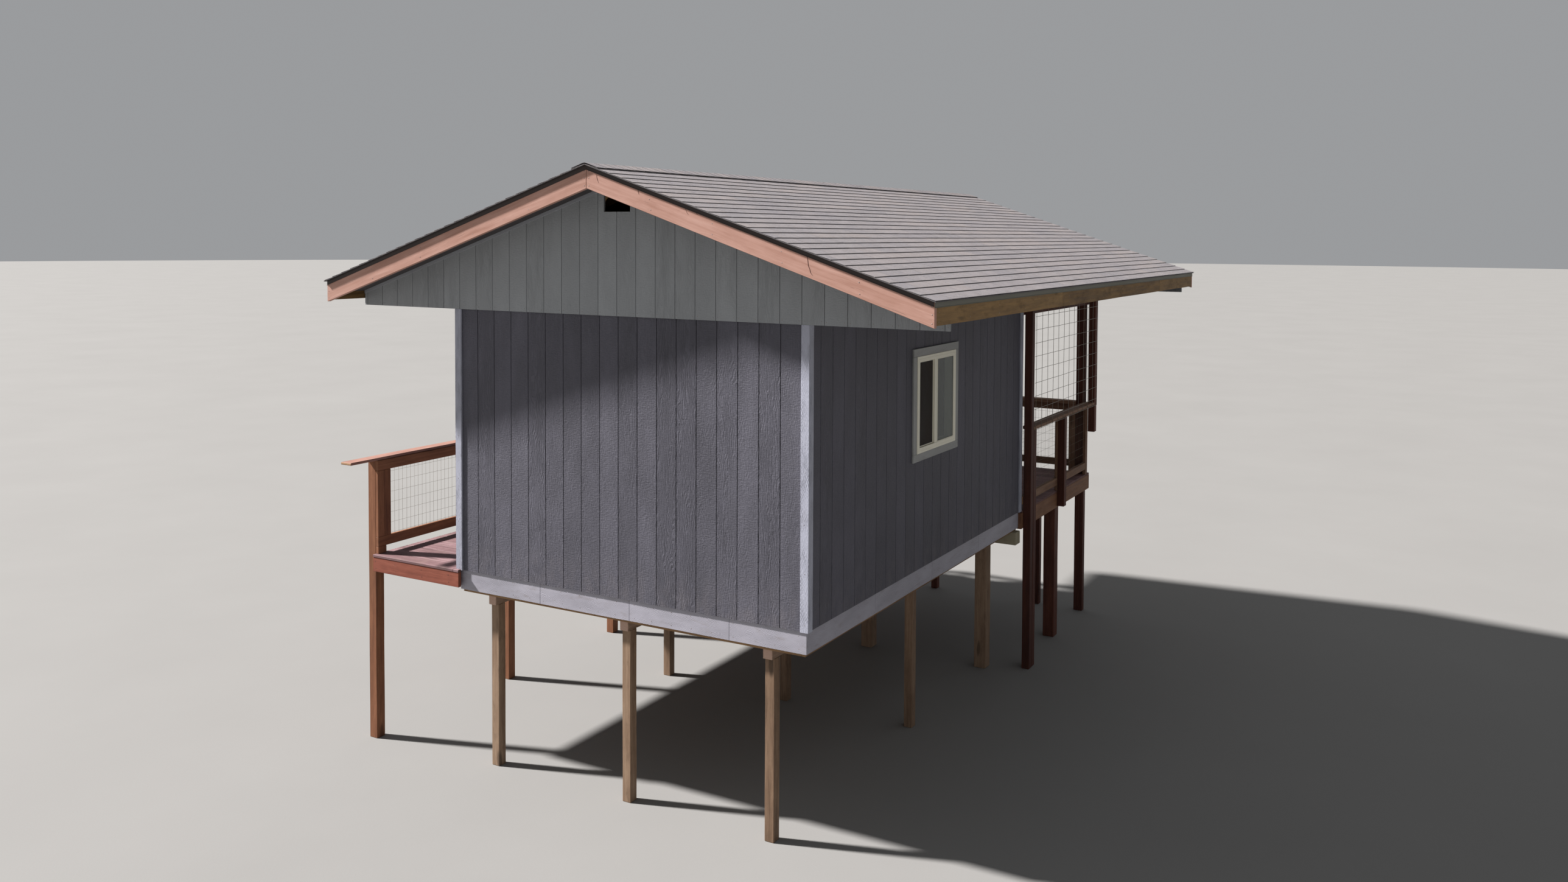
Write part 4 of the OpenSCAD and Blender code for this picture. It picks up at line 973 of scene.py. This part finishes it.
s = Solid()
nb = 18
pitch = (Y_PR - (Y_B + TRIM)) / nb
scr = Solid()
jx = [-DECK_W + i * (W + DECK_W) / 12 + 19 for i in range(0, 13)]
for i in range(nb):
    y0 = Y_B + TRIM + i * pitch
    y1 = y0 + pitch - 5
    cutx = jx[4] if i % 2 else jx[8]
    for a, b in ((-DECK_W, cutx - 1), (cutx + 1, X_RR)):
        board(s, (a, y0, Z_J), (b, y1, DK), 0, 3.0, 420, 1.0)
    for x in jx:
        for yy in (y0 + 28, y1 - 28):
            nail(scr, (x + rnd.uniform(-4, 4), yy + rnd.uniform(-4, 4), DK), 2, 1, 3.6, 0.5)
s.make("porch_planks", M["deck"], "decking", "porch_decking")

s = Solid()
board(s, (X_RO - 140, 4977 + POST, CAP), (X_RO, Y_PR - POST - 1, CAP + 38), 1, 4, 420, 1.2)
board(s, (W, Y_B + TRIM, BOT), (X_RR, 6201, BOT + 89), 1, 3, 420, 1.2)
board(s, (W, 6202 + POST + 1, BOT), (X_RR, Y_PR - 2 * POST - 1, BOT + 89), 1, 3, 420, 1.2)
board(s, (W, 6202, DK), (X_RR, 6202 + POST, CAP - 1), 2, 3, 300, 0.8)
board(s, (W, Y_PR - 2 * POST, DK), (X_RR, Y_PR - POST, CAP - 1), 2, 3, 300, 0.8)
for x in (POST_C + 25, XM - POST / 2, W - POST_C - 6 - POST):
    board(s, (x, Y_P - POST, DK), (x + POST, Y_P - 1, CAP - 1), 2, 4, 300, 0.8)
for a, b in ((-DECK_W + 38, 1300), (1301.5, W - 1)):
    board(s, (a, Y_P, CAP - 100), (b, Y_P + 38, CAP - 1), 0, 3, 420, 1.2)
    board(s, (a, Y_P, BOT), (b, Y_P + 38, BOT + 89), 0, 3, 420, 1.2)
board(s, (POST_C + 1, Y_P - 102, CAP), (W - POST_C - 1, Y_P + 38, CAP + 38), 0, 4, 420, 1.4)
board(s, (-DECK_W - 112, Y_P - 102, CAP), (-1, Y_P + 38, CAP + 25), 0, 3.5, 420, 1.2)
s.make("porch_rail_boards", M["rail"], "rail_stain", "porch_rails")

# coarse wire panel on the right side
s = Solid()
xw = X_RO + 2.5
z_lo, z_hi = CAP - 4.5, Z_W - 4
for i in range(13):
    y = 7543.5 - i * 203.2
    pts = [(xw + rnd.uniform(-0.8, 0.8), y + rnd.uniform(-2, 2), z) for z in np.linspace(z_lo, z_hi, 8)]
    pts[0] = (xw, pts[0][1], z_lo - 2)
    tube(s, pts, 2.4, 8)
for z in [2566.5 - 152.4 * i for i in range(10)] + [CAP - 4.5]:
    pts = [(xw + rnd.uniform(-0.8, 0.8), y, z + rnd.uniform(-2, 2)) for y in np.linspace(5067, Y_PR - 1, 10)]
    tube(s, pts, 2.4, 8)
s.make("wire_panel", M["wire"], "wire", "porch_screen")


def mesh_x(s, x, y0, y1, z0, z1):
    y = y0 + 12
    while y < y1 - 4:
        tube(s, [(x, y + rnd.uniform(-1, 1), z0 - 14), (x + rnd.uniform(-2, 2), y + rnd.uniform(-2, 2), (z0 + z1) / 2), (x, y + rnd.uniform(-1, 1), z1 + 12)], 1.05, 5)
        y += 50.8
    z = z0 + 14
    while z < z1:
        tube(s, [(x + 1.0 + rnd.uniform(-1.5, 1.5), yy, z + rnd.uniform(-2, 2)) for yy in np.linspace(y0 + 2, y1 - 2, max(3, int((y1 - y0) / 500)))], 1.05, 5)
        z += 101.6


def mesh_y(s, y, x0, x1, z0, z1):
    x = x0 + 12
    while x < x1 - 4:
        tube(s, [(x + rnd.uniform(-1, 1), y, z0 - 14), (x + rnd.uniform(-2, 2), y + rnd.uniform(-2, 2), (z0 + z1) / 2), (x + rnd.uniform(-1, 1), y, z1 + 12)], 1.05, 5)
        x += 50.8
    z = z0 + 14
    while z < z1:
        tube(s, [(xx, y + 1.0 + rnd.uniform(-1.5, 1.5), z + rnd.uniform(-2, 2)) for xx in np.linspace(x0 + 2, x1 - 2, max(3, int((x1 - x0) / 500)))], 1.05, 5)
        z += 101.6


s = Solid()
mesh_x(s, X_RR - 19, Y_B + TRIM, 6201, BOT + 89, CAP - 14)
mesh_x(s, X_RR - 19, 6202 + POST + 1, Y_PR - 2 * POST - 1, BOT + 89, CAP - 14)
mesh_y(s, Y_P + 19, -DECK_W + 40, W - 2, BOT + 89, CAP - 100)
s.make("porch_wire_mesh", M["mesh"], "wire", "porch_rail_mesh")

# ---------------------------------------------------------------- side deck
s = Solid()
board(s, (-DECK_W, -53, Z_J - 140), (34, -19, Z_J - 1.5), 0, 3, 420, 1.2)
for i in range(4):
    x = -DECK_W + i * (DECK_W - 38) / 3
    board(s, (x, -18.5, Z_J - 140), (x + 38, Y_H - 0.5, Z_J), 1, 2.5)
s.make("side_floor_frame", M["deck_fascia"], "deck_frame_stain", "side_deck_frame")

s = Solid()
nb = 34
pitch = (Y_B + TRIM + 57) / nb
for i in range(nb):
    y0 = -57 + i * pitch
    y1 = y0 + pitch - (5 if i < nb - 1 else 4)
    board(s, (-DECK_W + (0 if i == 0 else rnd.uniform(0, 3)), y0, Z_J), (-33, y1, DK + (0 if i == 0 else rnd.uniform(-1.2, 0))), 0, 3.0, 300, 0.9)
    for x in (-DECK_W + 19, -DECK_W + 373, -DECK_W + 727, -52):
        for yy in (y0 + 28, y1 - 28):
            nail(scr, (x + rnd.uniform(-4, 4), yy + rnd.uniform(-4, 4), DK), 2, 1, 3.6, 0.5)
board(s, (-33.5, -57, Z_J), (34, -21, DK), 0, 3.0, 300, 0.3)
s.make("side_planks", M["deck"], "decking", "side_decking")

s = Solid()
for y in (-19, 1814, 3647, 5480, Y_PR - POST_S):
    board(s, (-DECK_W - POST_S, y, -DROP), (-DECK_W, y + POST_S, CAP), 2, 4, 300, 1.8)
s.make("side_post_timbers", M["side"], "side_post_stain", "side_deck_posts")

s = Solid()
x0 = -DECK_W
board(s, (x0, -19, CAP - 100), (x0 + 38, 3700, CAP - 1), 1, 3, 420, 1.6)
board(s, (x0, 3701.5, CAP - 100), (x0 + 38, Y_P - 103, CAP - 1), 1, 3, 420, 1.6)
board(s, (x0, -19, BOT), (x0 + 38, 3698, BOT + 96), 1, 3, 420, 1.6)
board(s, (x0, 3699.5, BOT), (x0 + 38, Y_P - 1, BOT + 96), 1, 3, 420, 1.6)
board(s, (x0, -19, BOT + 97), (x0 + 38, 58, CAP - 101), 2, 3, 300, 0.8)
board(s, (x0, 59, BOT + 97), (x0 + 38, 139, CAP - 101), 2, 3, 300, 0.8)
board(s, (x0, -19, DK), (x0 + 38, 81, BOT - 1), 2, 3, 300, 0.4)
s.make("side_rail_boards", M["side"], "side_post_stain", "side_rails")
s = Solid()
board(s, (x0 - 112, -331, CAP), (x0 + 28, 3580, CAP + 25), 1, 4, 300, 1.8, rough_end=3)
board(s, (x0 - 112, 3582, CAP), (x0 + 28, Y_P - 103, CAP + 25), 1, 4, 300, 1.8)
s.make("side_rail_caps", M["side_cap"], "side_post_stain")

s = Solid()
mesh_x(s, x0 + 19, 139, Y_P - 103, BOT + 96, CAP - 100)
s.make("side_wire_mesh", M["mesh"], "wire", "side_rail_mesh")

M["split"] = wood("dark_split_wood", srgb(56, 34, 28), srgb(84, 52, 43), srgb(120, 82, 70), knots=0.2, crack=0.2, grime=0.2)


def split(s, pts, w):
    """A thin dark split that starts at a nail near the board's upper edge."""
    v, n = [], len(pts)
    for i, (x, z) in enumerate(pts):
        k = w * (0.35 + 0.65 * math.sin(math.pi * (i + 0.6) / (n + 0.2)))
        for dx, dy in ((-k, -0.5), (k, -0.5), (k, 0.4), (-k, 0.4)):
            v.append((x + dx * 0.5, Y_RF + dy, z))
    f = [(0, 1, 2, 3), tuple(4 * (n - 1) + j for j in (3, 2, 1, 0))]
    for i in range(n - 1):
        a, b = 4 * i, 4 * i + 4
        for j in range(4):
            f.append((a + j, b + j, b + (j + 1) % 4, a + (j + 1) % 4))
    s.add(v, f, np.array(v)[:, [2, 0, 1]] / 1000.0, rnd.random())


SPLITS = (
    (((1974, 3823), (1977, 3802), (1984, 3777), (1996, 3755)), 5.0),
    (((2397, 3691), (2398, 3677), (2407, 3657)), 6.0),
    (((2862, 3539), (2869, 3521), (2879, 3503), (2892, 3490)), 5.0),
    (((2961, 3506), (2969, 3500), (2975, 3492)), 5.0),
    (((3966, 3200), (3966, 3175), (3971, 3141), (3976, 3107), (3989, 3079), (3994, 3058), (4011, 3038)), 6.0),
    (((656, 3495), (659, 3475), (670, 3453), (673, 3436)), 5.0),
    (((734, 3441), (733, 3422), (743, 3393)), 4.5),
)
s = Solid()
for pts, w in SPLITS:
    split(s, pts, w)
s.make("rake_board_splits", M["split"], "rake_wood")

# ---------------------------------------------------------------- nails and screws
nl = Solid()
for g in g_front:
    if X_GL + 30 < g < X_GR - 10:
        for dx in (-22, 22):
            for yy, sg in ((-TRIM, -1), (Y_P + TRIM, 1)):
                nail(nl, (g + dx + rnd.uniform(-5, 5), yy, Z_W + 24 + rnd.uniform(-5, 5)), 1, sg, 3.4, 0.9)
for a, b in ((0, 969), (971, 1972), (1974, 2999), (3001, W)):
    x = a + 40
    while x < b - 20:
        for z in (36, 150):
            nail(nl, (x + rnd.uniform(-14, 14), SID, z + rnd.uniform(-7, 7)), 1, -1, 3.4, 0.9)
        x += 203
y = 90
while y < Y_H - 60:
    for z in (36, 150):
        nail(nl, (W, y + rnd.uniform(-14, 14), z + rnd.uniform(-7, 7)), 0, 1, 3.4, 0.9)
        nail(nl, (0, y + rnd.uniform(-14, 14), z + rnd.uniform(-7, 7)), 0, -1, 3.4, 0.9)
    y += 203
for x, w2 in ((7, 0), (W - 7, 0)):
    z = FLOOR + 60
    while z < Z_W - 60:
        nail(nl, (x + rnd.uniform(-6, 6), -TRIM, z + rnd.uniform(-10, 10)), 1, -1, 3.2, 0.9)
        z += 405
for yy, sg in ((Y_RF, -1), (Y_RB, 1)):
    for sx in (-1, 1):
        for dz in (40, 95, 160):
            x = XM + sx * (3136 - 22 - rnd.uniform(-4, 4))
            nail(nl, (x, yy, zr(x) - dz - 20), 1, sg, 4.2, 1.4)
            x = XM + sx * (24 + rnd.uniform(-4, 4))
            nail(nl, (x, yy, zr(x) - dz - 20), 1, sg, 4.2, 1.4)
        for q in range(1, 5):
            x = XM + sx * (3136 * q / 5 + rnd.uniform(-30, 30))
            for dz in (90, 175):
                nail(nl, (x + rnd.uniform(-10, 10), yy, zr(x) - dz), 1, sg, 4.2, 1.4)
for xf, sg, cuts in ((X_EL, -1, (2300, 5900)), (X_ER, 1, (2490, 6160))):
    y = Y_RF + 70
    while y < Y_RB - 60:
        for dz in (30, 92):
            nail(nl, (xf, y + rnd.uniform(-12, 12), Z_E + dz + rnd.uniform(-6, 6)), 0, sg, 4.0, 1.2)
        y += 610
for a in (WY0 - 40, WY0 + WIN + 40):
    for z in (WZ0 + 60, WZ0 + 457, WZ0 + WIN - 60):
        nail(nl, (W + SID + TRIM, a, z), 0, 1, 3.2, 0.8)
nl.make("nail_heads_light", M["nail"], "door_metal")
for x, y in ((X_RR + 45, 6202), ):
    for z in (40, 120, 300):
        nail(scr, (X_RO, y + 30, z), 0, 1, 6.0, 2.0)
        nail(scr, (X_RO, y + 62, z + 22), 0, 1, 6.0, 2.0)
for x in (-DECK_W + 30, -800, -450, -100):
    nail(scr, (x, -53, Z_J - 40), 1, -1, 4.0, 1.2)
    nail(scr, (x + 8, -53, Z_J - 105), 1, -1, 4.0, 1.2)
scr.make("screw_heads_dark", M["nail_dark"], "door_metal")

# ---------------------------------------------------------------- studio
fm = Mat("studio_floor", 0.85, 0.2)
fo = fm.obj()
fn1 = fm.noise(fo, 0.35, 4.0, 0.6)
fn2 = fm.noise(fo, 60.0, 3.0, 0.6)
fcol = fm.ramp(fm.math("ADD", fm.math("MULTIPLY", fn1, 0.7), fm.math("MULTIPLY", fn2, 0.3)),
               [(0.3, srgb(124, 123, 121)), (0.5, srgb(126, 125, 123)), (0.7, srgb(128, 127, 125))])
fm.done(fcol, fm.bump(fn2, 0.0004), None)
def lathe(name, prof, n=128):
    me = bpy.data.meshes.new(name)
    vs = [(r * math.cos(2 * math.pi * i / n), r * math.sin(2 * math.pi * i / n), z) for r, z in prof for i in range(n)]
    fs = [(j * n + i, j * n + (i + 1) % n, (j + 1) * n + (i + 1) % n, (j + 1) * n + i) for j in range(len(prof) - 1) for i in range(n)]
    if prof[0][0] > 0:
        fs.append(tuple(range(n - 1, -1, -1)))
    me.from_pydata(vs, [], fs)
    me.polygons.foreach_set("use_smooth", [True] * len(fs))
    me.materials.append(fm.m)
    ob = bpy.data.objects.new(name, me)
    bpy.context.scene.collection.objects.link(ob)
    return ob


lathe("studio_floor", [(1.0, 0.0), (12.0, 0.0), (40.0, 0.0), (220.0, 0.0)])

world = bpy.data.worlds.new("studio_world")
bpy.context.scene.world = world
world.use_nodes = True
bg = world.node_tree.nodes["Background"]
bg.inputs["Color"].default_value = (0.95, 0.97, 1.0, 1.0)
bg.inputs["Strength"].default_value = 0.34


def sun(name, travel, power, angle, col):
    d = bpy.data.lights.new(name, "SUN")
    d.energy, d.angle, d.color = power, math.radians(angle), col
    o = bpy.data.objects.new(name, d)
    bpy.context.scene.collection.objects.link(o)
    from mathutils import Vector
    o.rotation_mode = "QUATERNION"
    o.rotation_quaternion = Vector(travel).to_track_quat("-Z", "Y")
    return o


sun("key_light", (0.703, 0.218, -0.677), 11.2, 3.0, (1.0, 0.972, 0.955))

cam = bpy.data.cameras.new("camera")
cam.sensor_fit = "HORIZONTAL"
cam.sensor_width = 36.0
cam.lens = 28.202
cam.shift_x = (1288.0 - 1366.30) / 2576.0
cam.shift_y = (456.31 - 724.5) / 2576.0
cam.clip_start, cam.clip_end = 0.1, 500.0
co = bpy.data.objects.new("camera", cam)
bpy.context.scene.collection.objects.link(co)
yaw, pitch_d, roll = math.radians(-28.443), math.radians(2.03), math.radians(-0.327)
f = np.array([math.sin(yaw), math.cos(yaw), 0.0])
r = np.array([math.cos(yaw), -math.sin(yaw), 0.0])
d = np.array([0.0, 0.0, -1.0])
f2 = f * math.cos(pitch_d) + d * math.sin(pitch_d)
d2 = d * math.cos(pitch_d) - f * math.sin(pitch_d)
r3 = r * math.cos(roll) + d2 * math.sin(roll)
d3 = d2 * math.cos(roll) - r * math.sin(roll)
from mathutils import Matrix
mw = Matrix.Identity(4)
for i in range(3):
    mw[i][0], mw[i][1], mw[i][2] = r3[i], -d3[i], -f2[i]
mw[0][3], mw[1][3], mw[2][3] = (8486.2 - XM) / 1000, (-8382.0 - YM) / 1000, (3344.8 + DROP) / 1000
co.matrix_world = mw
bpy.context.scene.camera = co
bpy.context.scene.view_settings.view_transform = "Standard"
